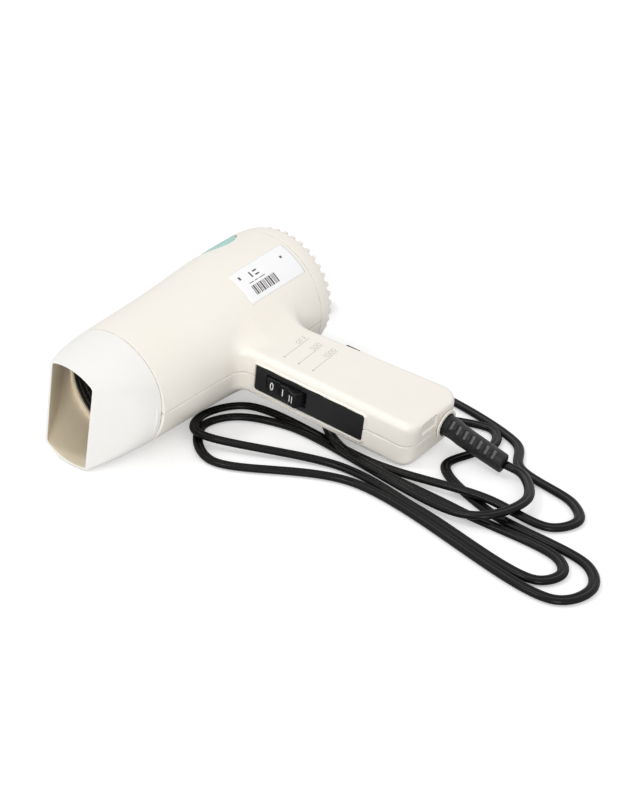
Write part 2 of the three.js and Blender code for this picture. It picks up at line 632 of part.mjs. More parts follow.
// rocker outline: [distance from the pivot, height over the plate], three pads and a block at the end
const ROCKER = [
  [-11.8, -3.0], [-12.0, 0.2], [-11.3, 1.0], [-9.6, 1.5], [-6.4, 1.5], [-4.7, 1.0], [-4.0, 1.1], [-3.0, 2.0],
  [-1.6, 2.4], [1.0, 2.4], [2.2, 2.2], [3.0, 2.7], [4.4, 3.9], [7.4, 4.5], [8.9, 4.3], [10.9, 0.9],
  [11.3, -2.0], [11.0, -5.0], [5.0, -9.5], [0.0, -11.0], [-5.0, -9.5], [-10.6, -5.6],
];
const PIVOT_V = PLATE_FACE + PIVOT_DROP;
const rockerHalf = ROCKER_HALF - 0.35;
const rockerOutline = slab(ROCKER, 2 * rockerHalf).translate(PIVOT_S, 0, -rockerHalf);
// height over the plate becomes distance toward the nozzle
rockerOutline.scale(1, -1, 1);
rockerOutline.translate(0, PLATE_FACE, 0);
const rockerBore = cylinder('z', PIVOT_BORE, -8, 8, PIVOT_S, PIVOT_V, 16);
add('rocker', handleSolid(rockerOutline).subtract(handleSolid(rockerBore)), 'black');
add('rocker_pin', handleSolid(cylinder('z', PIVOT_PIN, -6.7, 6.7, PIVOT_S, PIVOT_V, 16)), 'steel');

const SWITCH_FACE = PLATE_FACE + PLATE_THICK + GAP;
const SWITCH_BACK = -5.5;
let switchBody = handleSolid(box(ROCKER_S0 - 1.9, ROCKER_S1 + 1.8, SWITCH_FACE, SWITCH_BACK, -7.3, 7.3))
  .subtract(handleSolid(box(ROCKER_S0 - 0.5, ROCKER_S1 + 0.4, SWITCH_FACE - 1, SWITCH_BACK - 2.5, -5.3, 5.3)))
  .subtract(handleSolid(cylinder('z', PIVOT_BORE, -9, 9, PIVOT_S, PIVOT_V, 16)));
const TERMINALS = [PIVOT_S - TERMINAL_PITCH, PIVOT_S, PIVOT_S + TERMINAL_PITCH];
const BLADE_THIN = 0.4;
for (const s of TERMINALS) {
  const slot = box(s - BLADE_THIN - GAP, s + BLADE_THIN + GAP, SWITCH_BACK - 3.5, SWITCH_BACK + 1.5, -2.8, 2.8);
  switchBody = switchBody.subtract(handleSolid(slot));
}
add('switch_body', switchBody, 'grey');
TERMINALS.forEach((s, i) => {
  const blade = handleSolid(box(s - BLADE_THIN, s + BLADE_THIN, SWITCH_BACK - 3.1, SWITCH_BACK + 4.3, -2.5, 2.5))
    .subtract(handleSolid(cylinder('x', 0.9, s - 2, s + 2, SWITCH_BACK + 2.7, 0, 10)));
  add(`switch_terminal_${i + 1}`, blade, 'brass');
});
add('half_power_diode', handleSolid(cylinder('x', 2.0, 83.5, 92.5, -9, -2, 12)), 'black');
add('capacitor', handleSolid(box(95, 109, -15, -6, -7, 8)), 'brass');

// ---------- rear button ----------
const buttonBack = BUTTON_FACE - BUTTON_DEPTH;
const buttonCap = slab(roundedOutline(BUTTON_S0, BUTTON_S1, -BUTTON_HALF, BUTTON_HALF, 1.6), BUTTON_DEPTH, 0.8)
  .rotateX(Math.PI / 2).translate(0, BUTTON_FACE, 0);
const button = handleSolid(buttonCap)
  .add(handleSolid(box(BUTTON_S0 - 1.4, BUTTON_S1 + 1.4, buttonBack - 0.2, buttonBack + FLANGE_THICK - 0.2,
    -BUTTON_HALF - 0.8, BUTTON_HALF + 0.8)))
  .add(handleSolid(cylinder('y', 1.6, buttonBack - 3.6, buttonBack + 0.2, BUTTON_MID, 0, 14)));
add('rear_button', button, 'black');

const springPoints = [];
const SPRING_TURNS = 4;
const SPRING_STEPS = 8;
const SPRING_R = 3;
const SPRING_WIRE_R = 0.35;
const SPRING_FROM = SWITCH_TOP + 0.5;
const SPRING_TO = buttonBack - 0.7;
for (let i = 0; i <= SPRING_TURNS * SPRING_STEPS; i++) {
  const t = 2 * Math.PI * i / SPRING_STEPS;
  const v = THREE.MathUtils.lerp(SPRING_FROM, SPRING_TO, i / (SPRING_TURNS * SPRING_STEPS));
  springPoints.push([BUTTON_MID + SPRING_R * Math.cos(t), v, SPRING_R * Math.sin(t)]);
}
leastGap('button_spring', springPoints, SPRING_STEPS, SPRING_WIRE_R);
add('button_spring', tube(springPoints, SPRING_WIRE_R, SPRING_TURNS * SPRING_STEPS, 5).applyMatrix4(onHandle),
  'steel');
add('button_switch', handleSolid(box(BUTTON_MID - 6.5, BUTTON_MID + 6.5, SWITCH_TOP - 8.2, SWITCH_TOP, -4.6, 4.6)),
  'grey');

// ---------- cord end ----------
// collar profile: [radius, height over the handle's end]
const collar = new THREE.LatheGeometry([
  [NECK_BORE, -5.5], [NECK_R, -5.5], [NECK_R, GAP], [COLLAR_R, GAP], [COLLAR_R, 0.9], [COLLAR_R - 0.4, 1.6],
  [7.2, 1.9], [6.6, 1.7], [NECK_BORE, 1.2], [NECK_BORE, -5.5],
].map(([r, y]) => new THREE.Vector2(r, y)), 28).rotateZ(-Math.PI / 2).translate(0, CORD_V, 0);
add('cord_bush', handleSolid(collar.applyMatrix4(atEnd)), 'cream');

// strain relief: nearly round section that tapers and leans toward the nozzle side
function reliefAxis(s) {
  const d = Math.max(s - HANDLE_END, 0);
  return CORD_V - RELIEF_LEAN * d * Math.min(1, d / 12);
}

function reliefHalf(s, k) {
  const t = THREE.MathUtils.clamp((s - HANDLE_END) / (RELIEF_END - HANDLE_END), 0, 1);
  return THREE.MathUtils.lerp(RELIEF_BASE[k], RELIEF_TIP[k], t);
}

const RELIEF_SIDES = 12;
const RELIEF_SQUARE = 0.9;
const reliefSection = [];
for (let i = 0; i < RELIEF_SIDES; i++) {
  const t = 2 * Math.PI * (i + 0.5) / RELIEF_SIDES;
  const c = Math.cos(t);
  const q = Math.sin(t);
  reliefSection.push([Math.sign(c) * Math.abs(c) ** RELIEF_SQUARE, Math.sign(q) * Math.abs(q) ** RELIEF_SQUARE]);
}
const TIP_ROUND = 0.6;
const reliefStations = [RELIEF_START, 142.5, 146, 150, 154, 165, RELIEF_END - 2 * TIP_ROUND, RELIEF_END];
const relief = swept(reliefSection, reliefStations, (s, p, q) => {
  const tip = s > RELIEF_END - TIP_ROUND ? TIP_ROUND : 0;
  return [s, reliefAxis(s) + p * (reliefHalf(s, 0) - tip), q * (reliefHalf(s, 1) - tip)];
});
let reliefBody = handleSolid(relief);
const SLOT_OUTLINE = roundedOutline(-0.95, 0.95, -3.1, 3.1, 0.9, 2);
for (let i = 0; i < SLOTS; i++) {
  const s = SLOT_START + SLOT_PITCH * i;
  const reach = Math.hypot(reliefHalf(s, 0) * Math.sin(SLOT_TURN), reliefHalf(s, 1) * Math.cos(SLOT_TURN));
  for (const turn of [SLOT_TURN, SLOT_TURN + Math.PI]) {
    const cut = slab(SLOT_OUTLINE, 3).translate(0, 0, reach - 1.1).rotateX(turn);
    reliefBody = reliefBody.subtract(handleSolid(cut.translate(s, reliefAxis(s), 0)));
  }
}
add('strain_relief', reliefBody, 'rubber');

const LEAD_START = 112;
const leadOutline = roundedOutline(CORD_V - CORD_WIDTH / 2, CORD_V + CORD_WIDTH / 2, -CORD_THICK / 2,
  CORD_THICK / 2, 1.2, 3);
const alongHandle = new THREE.Matrix4().makeBasis(
  new THREE.Vector3(0, 1, 0), new THREE.Vector3(0, 0, 1), new THREE.Vector3(1, 0, 0));
add('lead_inner', handleSolid(slab(leadOutline, RELIEF_START - 0.5 - LEAD_START).applyMatrix4(alongHandle)
  .translate(LEAD_START, 0, 0)), 'rubber');

let clamp = handleSolid(box(CLAMP_S - 2.4, CLAMP_S + 2.4, 2, 18, CORD_THICK / 2 + 0.4, 4.4));
for (const v of CLAMP_POSTS) {
  clamp = clamp.subtract(handleSolid(cylinder('z', 1.3, 1, 6, CLAMP_S, v, 12)));
}
add('cord_clamp', clamp, 'grey');
CLAMP_POSTS.forEach((v, i) => {
  const screw = handleSolid(cylinder('z', POST_BORE - GAP, -6, 5, CLAMP_S, v, 10))
    .add(handleSolid(cylinder('z', 2.1, 4.7, 6.0, CLAMP_S, v, 12)));
  add(`clamp_screw_${i + 1}`, screw, 'steel');
});

// inner wires, drawn on the handle frame
const WIRE_R = 0.9;
function wire(name, points, look) {
  add(name, tube(points, WIRE_R, 4 * points.length, 5).applyMatrix4(onHandle), look);
}
wire('wire_live', [[111.2, 8.6, 0.4], [104, 7, 3], [90, 1.5, 4.5], [81, -0.8, 3], [TERMINALS[2] + 2, -0.2, 0.5]],
  'red');
wire('wire_neutral', [[111.2, 11.4, -0.4], [102, 10, -4], [92, 5, -7.2], [66, 5, -7.2], [48, 4, -6], [37.5, 0, -3]],
  'blue');
wire('wire_switched', [[TERMINALS[0], -0.2, 0.5], [50, 1.5, 2], [44, 2, 3.5], [37.5, 1, 3.5]], 'red');

// ---------- cord and plug, on the surface ----------
const part = new THREE.Group();
part.name = 'hair_dryer';

const cordCurve = new THREE.CatmullRomCurve3(CORD_ROUTE.map((p) => new THREE.Vector3(...p)), false, 'centripetal');
const CORD_FINE = 2400;
const CORD_BEND = 27;
const CORD_RUN = 40;

// stations follow the bends: a new one after each stretch that turns or runs far enough
function cordStations() {
  const fine = [];
  for (let i = 0; i <= CORD_FINE; i++) {
    const at = cordCurve.getPoint(i / CORD_FINE);
    at.z = Math.max(at.z, CORD_THICK / 2 + 0.15);
    fine.push({ at, along: cordCurve.getTangent(i / CORD_FINE) });
  }
  const stations = [fine[0]];
  let last = fine[0];
  for (const f of fine) {
    const bend = THREE.MathUtils.radToDeg(last.along.angleTo(f.along));
    if (bend > CORD_BEND || last.at.distanceTo(f.at) > CORD_RUN) {
      stations.push(f);
      last = f;
    }
  }
  const end = fine[CORD_FINE];
  if (last.at.distanceTo(end.at) < 5) stations.pop();
  stations.push(end);
  return stations;
}

const CORD_SIDES = 8;
const cordRound = 1.08 * CORD_THICK / 2;
const cordSection = [];
for (let i = 0; i < CORD_SIDES; i++) {
  const t = 2 * Math.PI * (i + 0.5) / CORD_SIDES;
  const lobe = Math.sign(Math.cos(t)) * (CORD_WIDTH - CORD_THICK) / 2;
  cordSection.push([lobe + cordRound * Math.cos(t), cordRound * Math.sin(t)]);
}
const cord = swept(cordSection, cordStations(), (f, p, q) => {
  const side = new THREE.Vector3(-f.along.y, f.along.x, 0).normalize();
  const up = new THREE.Vector3().crossVectors(f.along, side);
  const at = f.at.clone().addScaledVector(side, p).addScaledVector(up, q);
  return [at.x, at.y, at.z];
});
add('cord', solid(cord), 'black', part);

// the plug: flat two-pin body with its pins, drawn along +X from the cord and set at the cord's end
const cordEnd = CORD_ROUTE[CORD_ROUTE.length - 1];
const plugHeading = cordCurve.getTangent(1);
const atPlug = new THREE.Matrix4().makeTranslation(cordEnd[0], cordEnd[1], cordEnd[2])
  .multiply(new THREE.Matrix4().makeRotationZ(Math.atan2(plugHeading.y, plugHeading.x)));
const PLUG_SIDE = [[0.6, 4.2], [9, 4.6], [14, 8.5], [20, 15.5], [25, 17.6], [PLUG_LENGTH, 17.6]];
const PLUG_OUTLINE = [...PLUG_SIDE.map(([x, y]) => [x, -y]), ...PLUG_SIDE.toReversed()];
const SLEEVE_START = PLUG_LENGTH + GAP;
const PIN_START = SLEEVE_START + SLEEVE_LENGTH + GAP;
const plugBody = solid(slab(PLUG_OUTLINE, 2 * PLUG_HALF, 1.2).translate(0, 0, -PLUG_HALF).applyMatrix4(atPlug));
add('plug_body', plugBody, 'black', part);
for (const [i, side] of [-1, 1].entries()) {
  const y = side * PIN_SPACING / 2;
  const sleeve = solid(cylinder('x', 1.9, SLEEVE_START, SLEEVE_START + SLEEVE_LENGTH, y, 0, 12).applyMatrix4(atPlug));
  const pin = solid(cylinder('x', 2.0, PIN_START, PIN_START + PIN_LENGTH, y, 0, 12).applyMatrix4(atPlug));
  add(`plug_sleeve_${i + 1}`, sleeve, 'grey', part);
  add(`plug_pin_${i + 1}`, pin, 'brass', part);
}

// ---------- lay it on its side ----------
dryer.matrixAutoUpdate = false;
dryer.matrix.makeTranslation(...REST_SHIFT)
  .multiply(new THREE.Matrix4().makeRotationX(REST_PITCH))
  .multiply(new THREE.Matrix4().makeRotationY(REST_ROLL));

part.add(dryer);
part.position.x = CENTRE_X;
export default part;
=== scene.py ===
"""Hair dryer lying on its side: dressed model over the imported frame. Drawing units are millimetres
on the dryer's own axes (Y the air axis, X down the handle, Z square to the casing split), placed in
metres."""
import math

import bpy
import numpy as np
from mathutils import Matrix, Vector


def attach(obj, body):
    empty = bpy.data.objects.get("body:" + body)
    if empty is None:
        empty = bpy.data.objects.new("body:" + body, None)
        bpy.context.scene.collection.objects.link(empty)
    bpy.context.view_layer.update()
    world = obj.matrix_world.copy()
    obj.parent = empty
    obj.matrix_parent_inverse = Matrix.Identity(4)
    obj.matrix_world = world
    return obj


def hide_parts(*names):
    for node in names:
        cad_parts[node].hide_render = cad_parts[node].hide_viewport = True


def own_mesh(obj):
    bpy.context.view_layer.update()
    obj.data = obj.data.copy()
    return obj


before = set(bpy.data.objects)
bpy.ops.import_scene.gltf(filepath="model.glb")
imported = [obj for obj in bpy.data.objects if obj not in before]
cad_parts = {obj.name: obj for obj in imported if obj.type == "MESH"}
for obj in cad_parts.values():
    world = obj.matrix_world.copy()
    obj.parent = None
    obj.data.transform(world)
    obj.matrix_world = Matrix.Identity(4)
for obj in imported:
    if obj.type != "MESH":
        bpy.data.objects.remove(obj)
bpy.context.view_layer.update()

# ---------------------------------------------------------------- sizes, as in the solids
GAP = 0.3
WALL = 2.2
# barrel profile: (radius, distance from the nozzle joint)
BARREL = [
    (33.1, 0), (34.0, 20), (34.8, 40), (36.1, 60), (37.5, 75), (38.6, 90), (39.3, 105), (39.6, 117),
    (39.3, 126),
]
BARREL_LENGTH = 126.0
HANDLE_Y = 78.8
HANDLE_LEAN = math.radians(2.84)
HANDLE_END = 142.1
END_SLANT = 0.08
SLANT_FROM = 112.0
HANDLE_FRONT = -22.2
HANDLE_REAR_ROOT = 18.2
HANDLE_REAR_END = 23.6
HANDLE_HALF = 13.6
HANDLE_EDGE = 4.0
HANDLE_END_ROUND = 7.5
HANDLE_REAR_ROUND = 10.5
HANDLE_ROOT = 24.0
HANDLE_TAPER_FROM = 45.0
HANDLE_TAPER_RUN = 85.0
HANDLE_END_CROWN = 0.45
HANDLE_END_WALL = 2.6
LEAST_EDGE = 1.2
NOZZLE_LENGTH = 34.2
MOUTH_HALF = 15.1
MOUTH_RADIUS = 30.9
NOZZLE_WALL = 1.5
NOZZLE_TURN = math.radians(5.3)
SPIGOT_R = 30.3
GRILLE_Y = 9.3
COVER_START = 126.3
COVER_END = 136.6
COVER_PLATE = 135.4
RIB_END = 139.7
RIBS = 40
BADGE_PHI = math.radians(140)
BADGE_Y = 107.5
BADGE_HALF = (16, 18)
PLATE = (44.3, 112.7, 8.1)
PLATE_FACE = -22.7
PLATE_THICK = 2.2
BEAD = 1.1
ROCKER_OPENING = (51.7, 77.2, 4.9)
PIVOT_S = 64.4
PIVOT_DROP = 5.5
BUTTON = (71.0, 80.5, 9.2)
BUTTON_OUT = 4.8
BUTTON_DEPTH = 9.0
SWITCH_TOP = 9.6
CORD_V = 10.0
NECK_BORE = 6.45
NECK_R = 7.05
RELIEF_START = 136.5
RELIEF_END = 182.4
RELIEF_LEAN = 9.2 / 41
RELIEF_HALF = 5.7
RELIEF_LOSS = (0.4, 1.0)
SLOT_START = 148.6
SLOT_PITCH = 4.6
SLOT_LAST = 6
SLOT_DEEP = 1.0
SLOT_TURN = math.radians(35)
CORD_WIDTH = 5.4
CORD_THICK = 3.0
BOSSES = [(131.5, -13), (119, -5), (88, 12), (54, 12)]
BOSS_R = 3.8
WELL_R = 3.1
WELL_FLOOR = -9.5
SCREW_HOLE_R = 1.7
# pocket in the slanted end: out of the face, across it and up from the split, low and high
END_POCKET = (-0.8, 3, -12.4, 0.4, 4.4, 11.0)
PLUG_HALF = 6.85
PLUG_ENDS = (0.6, 36.5)
COIL_R = 22.2
COIL_TURNS = 8
COIL_START = 19
COIL_RUN = 42
SPRING_R = 3
SPRING_TURNS = 4
SCALE_START = 55.96
SCALE_PITCH = 9.12
REST_ROLL = math.radians(10.043)
REST_PITCH = math.radians(3.454)
REST_SHIFT = (-70.5, -52.8, 33.04)
CENTRE_X = 0.292
# points the lead passes through, from the sleeve to the plug
CORD_ROUTE = [
    (109.9, 37.6, 6.6), (121, 35, 6.1), (134.5, 15, 7), (128, -7, 7.2), (112, -12.5, 5),
    (-8, 11, 2), (-38.5, 1.5, 2), (-45.2, -16, 1.9), (-19, -40.5, 2), (52, -15.5, 2),
    (181, -43, 2), (190, -27.5, 2), (181, -12, 2), (120, 2, 2), (82, 26, 2), (87, 45.5, 2),
    (91, 59.5, 2), (82, 72.3, 2), (5, 54.5, 2), (-8.5, 72, 2), (3, 92, 2), (99, 67.5, 2),
    (114, 46, 2), (151, 31.5, 2), (160, 19, 2), (152, 6.5, 2), (115, 6.5, 5.2), (55, 5.5, 2.4),
    (-40, 16, 2), (-52.6, -4, 2.2), (-39, -27, 5.4), (40, -6.5, 2), (94, -17.5, 2), (167, -35, 2),
    (174, -24.7, 2), (167, -14.5, 2), (107.5, -6, 2), (30, 5.8, 5.3), (-14.5, 50, 2),
    (-78, 118, 6.8),
]

# ---------------------------------------------------------------- camera
CAMERA_AT = (0.38995, -0.49750, 0.36257)
CAMERA_TURN = (37.011, 28.109, -0.409)  # azimuth, elevation and roll in degrees
CAMERA_LENS = 62.006

camera_data = bpy.data.cameras.new("camera")
camera_data.sensor_fit = "AUTO"
camera_data.sensor_width = 36.0
camera_data.lens = CAMERA_LENS
camera_data.clip_start = 0.02
camera_data.clip_end = 20
camera = bpy.data.objects.new("camera", camera_data)
azimuth, elevation, roll = (math.radians(v) for v in CAMERA_TURN)
camera.matrix_world = (
    Matrix.Translation(Vector(CAMERA_AT))
    @ Matrix.Rotation(azimuth, 4, "Z") @ Matrix.Rotation(math.pi / 2 - elevation, 4, "X")
    @ Matrix.Rotation(roll, 4, "Z"))
bpy.context.scene.collection.objects.link(camera)
bpy.context.scene.camera = camera

# ---------------------------------------------------------------- placing
LIE = (Matrix.Translation(Vector((REST_SHIFT[0] + CENTRE_X, REST_SHIFT[1], REST_SHIFT[2])))
       @ Matrix.Rotation(REST_PITCH, 4, "X") @ Matrix.Rotation(REST_ROLL, 4, "Y"))
ON_HANDLE = Matrix.Translation(Vector((0, HANDLE_Y, 0))) @ Matrix.Rotation(HANDLE_LEAN, 4, "Z")
ON_NOZZLE = Matrix.Rotation(NOZZLE_TURN, 4, "Y")
TO_METRES = Matrix.Scale(0.001, 4)
ON_ROW = Matrix.Translation(Vector((CENTRE_X, 0, 0)))


def place(points, *steps):
    """(n, 3) points in mm carried through the matrices, last one first, and turned into metres"""
    m = TO_METRES.copy()
    for step in steps:
        m = m @ step
    a = np.array(m)
    return points @ a[:3, :3].T + a[:3, 3]


def turn_only(vectors, *steps):
    m = Matrix.Identity(4)
    for step in steps:
        m = m @ step
    return vectors @ np.array(m)[:3, :3].T


# ---------------------------------------------------------------- meshes from numbers
def new_object(name, points, faces, normals=None, smooth=True):
    """one mesh object from (n, 3) metres and (m, k) corner numbers"""
    mesh = bpy.data.meshes.new(name)
    faces = np.asarray(faces, np.int32)
    k = faces.shape[1]
    mesh.vertices.add(len(points))
    mesh.vertices.foreach_set("co", np.asarray(points, np.float32).ravel())
    mesh.loops.add(faces.size)
    mesh.loops.foreach_set("vertex_index", faces.ravel())
    mesh.polygons.add(len(faces))
    mesh.polygons.foreach_set("loop_start", np.arange(0, faces.size, k, dtype=np.int32))
    mesh.update(calc_edges=True)
    mesh.validate()
    mesh.polygons.foreach_set("use_smooth", np.full(len(mesh.polygons), smooth))
    if normals is not None and len(mesh.vertices) == len(normals):
        mesh.normals_split_custom_set_from_vertices(np.asarray(normals, np.float32))
    ob = bpy.data.objects.new(name, mesh)
    bpy.context.scene.collection.objects.link(ob)
    return ob


BLOCK = 8


def sample_field(fn, lo, hi, step):
    """values of fn on a grid, worked out only in the blocks that the surface runs through"""
    lo = np.asarray(lo, np.float64)
    blocks = np.maximum(np.ceil((np.asarray(hi) - lo) / (BLOCK * step)).astype(int), 1)
    size = blocks * BLOCK + 1
    grid = np.indices(tuple(blocks)).reshape(3, -1).T
    centres = lo + (grid + 0.5) * BLOCK * step
    at_centre = fn(centres)
    field = np.ones(tuple(size), np.float32)
    inside = at_centre < 0
    reach = BLOCK * step * 0.87 * 1.7 + 1.2
    near = np.abs(at_centre) < reach
    for block in grid[inside & ~near]:
        i, j, k = block * BLOCK
        field[i:i + BLOCK + 1, j:j + BLOCK + 1, k:k + BLOCK + 1] = -1
    corner = np.indices((BLOCK + 1,) * 3).reshape(3, -1).T
    active = grid[near]
    chunk = 2500
    for start in range(0, len(active), chunk):
        index = (active[start:start + chunk, None, :] * BLOCK + corner[None]).reshape(-1, 3)
        field[index[:, 0], index[:, 1], index[:, 2]] = fn(lo + index * step)
    return field, lo


def surface(fn, lo, hi, step, settle=3):
    """points, quads and outward normals of the zero surface of fn (mm)"""
    field, lo = sample_field(fn, lo, hi, step)
    inside = field < 0
    n = np.array(field.shape)
    count = np.zeros(tuple(n - 1), np.uint8)
    for a in (0, 1):
        for b in (0, 1):
            for c in (0, 1):
                count += inside[a:n[0] - 1 + a, b:n[1] - 1 + b, c:n[2] - 1 + c]
    cells = np.argwhere((count > 0) & (count < 8))
    number = np.full(tuple(n - 1), -1, np.int32)
    number[cells[:, 0], cells[:, 1], cells[:, 2]] = np.arange(len(cells))
    total = np.zeros((len(cells), 3))
    crossings = np.zeros(len(cells))
    corners = [(a, b, c) for a in (0, 1) for b in (0, 1) for c in (0, 1)]
    for p in corners:
        for axis in range(3):
            if p[axis]:
                continue
            q = list(p)
            q[axis] = 1
            fa = field[cells[:, 0] + p[0], cells[:, 1] + p[1], cells[:, 2] + p[2]]
            fb = field[cells[:, 0] + q[0], cells[:, 1] + q[1], cells[:, 2] + q[2]]
            cut = (fa < 0) != (fb < 0)
            t = np.where(cut, fa / np.where(cut, fa - fb, 1), 0)
            for d in range(3):
                total[:, d] += np.where(cut, p[d] + (t if d == axis else 0), 0)
            crossings += cut
    points = lo + (cells + total / crossings[:, None]) * step
    quads = []
    for axis in range(3):
        u, v = [(1, 2), (2, 0), (0, 1)][axis]
        first = [slice(None)] * 3
        second = [slice(None)] * 3
        first[axis] = slice(0, n[axis] - 1)
        second[axis] = slice(1, n[axis])
        a = inside[tuple(first)]
        b = inside[tuple(second)]
        edge = np.argwhere(a != b)
        within = (edge[:, u] < n[u] - 1) & (edge[:, v] < n[v] - 1)
        edge = edge[(edge[:, u] > 0) & (edge[:, v] > 0) & within]
        ring = []
        for du, dv in ((-1, -1), (0, -1), (0, 0), (-1, 0)):
            cell = edge.copy()
            cell[:, u] += du
            cell[:, v] += dv
            ring.append(number[cell[:, 0], cell[:, 1], cell[:, 2]])
        ring = np.stack(ring, 1)
        leaving = a[edge[:, 0], edge[:, 1], edge[:, 2]]
        quads.append(np.where(leaving[:, None], ring, ring[:, ::-1]))
    quads = np.concatenate(quads)
    quads = quads[(quads >= 0).all(1)]
    for _ in range(settle):
        value, slope = with_slope(fn, points)
        square = np.maximum((slope ** 2).sum(1), 0.05)
        move = -value[:, None] * slope / square[:, None]
        length = np.linalg.norm(move, axis=1, keepdims=True)
        points = points + move * np.minimum(1, 0.6 * step / np.maximum(length, 1e-9))
    slope = with_slope(fn, points)[1]
    normals = slope / np.maximum(np.linalg.norm(slope, axis=1, keepdims=True), 1e-9)
    return points, quads, normals


def with_slope(fn, points):
    h = 0.04
    value = fn(points)
    slope = np.empty_like(points)
    for d in range(3):
        shift = np.zeros(3)
        shift[d] = h
        slope[:, d] = (fn(points + shift) - fn(points - shift)) / (2 * h)
    return value, slope


def shaped(name, fn, lo, hi, step, *steps):
    """an object whose skin is the zero surface of fn, drawn in mm and placed by the matrices"""
    points, quads, normals = surface(fn, lo, hi, step * (1))
    return new_object(name, place(points, *steps), quads, turn_only(normals, *steps))


# ---------------------------------------------------------------- distance forms (mm)
def smax(a, b, k):
    h = np.maximum(k - np.abs(a - b), 0) / k
    return np.maximum(a, b) + h * h * k / 4


def smin(a, b, k):
    return -smax(-a, -b, k)


def rounded_rect(a, b, half_a, half_b, r):
    qa = np.abs(a) - (half_a - r)
    qb = np.abs(b) - (half_b - r)
    return np.hypot(np.maximum(qa, 0), np.maximum(qb, 0)) + np.minimum(np.maximum(qa, qb), 0) - r


def rounded_box(x, y, z, x0, x1, y0, y1, z0, z1, r):
    qx = np.abs(x - (x0 + x1) / 2) - (x1 - x0) / 2 + r
    qy = np.abs(y - (y0 + y1) / 2) - (y1 - y0) / 2 + r
    qz = np.abs(z - (z0 + z1) / 2) - (z1 - z0) / 2 + r
    out = np.sqrt(np.maximum(qx, 0) ** 2 + np.maximum(qy, 0) ** 2 + np.maximum(qz, 0) ** 2)
    return out + np.minimum(np.maximum(qx, np.maximum(qy, qz)), 0) - r


def polygon(a, b, corners):
    """signed distance to a closed outline of (a, b) corners"""
    best = np.full(a.shape, 1e9)
    sign = np.ones(a.shape)
    for i in range(len(corners)):
        ax, ay = corners[i]
        bx, by = corners[i - 1]
        ex, ey = bx - ax, by - ay
        wx, wy = a - ax, b - ay
        t = np.clip((wx * ex + wy * ey) / (ex * ex + ey * ey), 0, 1)
        best = np.minimum(best, (wx - ex * t) ** 2 + (wy - ey * t) ** 2)
        c1 = b >= ay
        c2 = b < by
        c3 = ex * wy > ey * wx
        flip = (c1 & c2 & c3) | (~c1 & ~c2 & ~c3)
        sign = np.where(flip, -sign, sign)
    return sign * np.sqrt(best)


def axes(p):
    return p[:, 0], p[:, 1], p[:, 2]


def from_nearest(x, start, pitch, last):
    """distance past the nearest of a row of marks, numbered 0 to last"""
    return x - start - pitch * np.clip(np.round((x - start) / pitch), 0, last)


def to_handle(x, y):
    """(s, v) down the handle and toward the rear"""
    dy = y - HANDLE_Y
    c, k = math.cos(HANDLE_LEAN), math.sin(HANDLE_LEAN)
    return x * c + dy * k, -x * k + dy * c


# the profile's straight runs are smoothed with a bell of SOFTEN mm
PROFILE_STEP = 0.5
SOFTEN = 4.0
SPREAD = 20
profile_y = np.linspace(-4, 130, 269)
knots_y = np.array([y for _, y in BARREL], float)
knots_r = np.array([r for r, _ in BARREL], float)
profile_r = np.interp(profile_y, knots_y, knots_r)
bell = np.exp(-0.5 * (np.arange(-SPREAD, SPREAD + 1) * PROFILE_STEP / SOFTEN) ** 2)
profile_r = np.convolve(np.pad(profile_r, SPREAD, "edge"), bell / bell.sum(), "valid")


def barrel_radius(y):
    return np.interp(y, profile_y, profile_r)


def handle_rear(s):
    t = np.clip((s - HANDLE_TAPER_FROM) / HANDLE_TAPER_RUN, 0, 1)
    return HANDLE_REAR_ROOT + (HANDLE_REAR_END - HANDLE_REAR_ROOT) * t


def end_round(s, end, r):
    past = np.clip(s - (end - r), 0, r)
    return r - np.sqrt(np.maximum(r * r - past * past, 0))


def to_end(s, v):
    """(out of the slanted end face, across it)"""
    turn = math.atan(END_SLANT)
    past = s - HANDLE_END
    return past * math.cos(turn) - v * math.sin(turn), past * math.sin(turn) + v * math.cos(turn)


def handle_form(s, v, z, inset=0.0, end=HANDLE_END):
    s = s - END_SLANT * v * np.clip((s - SLANT_FROM) / (HANDLE_END - SLANT_FROM), 0, 1)
    turn = end_round(s, end, HANDLE_END_ROUND - inset)
    front = HANDLE_FRONT + inset + turn
    rear = handle_rear(s) - inset - end_round(s, end, HANDLE_REAR_ROUND - inset)
    high = HANDLE_HALF - inset - HANDLE_END_CROWN * turn
    edge = max(HANDLE_EDGE - inset, LEAST_EDGE)
    across = rounded_rect(v - (front + rear) / 2, z, (rear - front) / 2, high, edge)
    return np.maximum(smax(across, s - end, 0.8), HANDLE_ROOT - s)


def opening_plate(s, z, grow, r):
    s0, s1, half = PLATE
    return rounded_rect(s - (s0 + s1) / 2, z, (s1 - s0) / 2 + grow, half + grow, r)


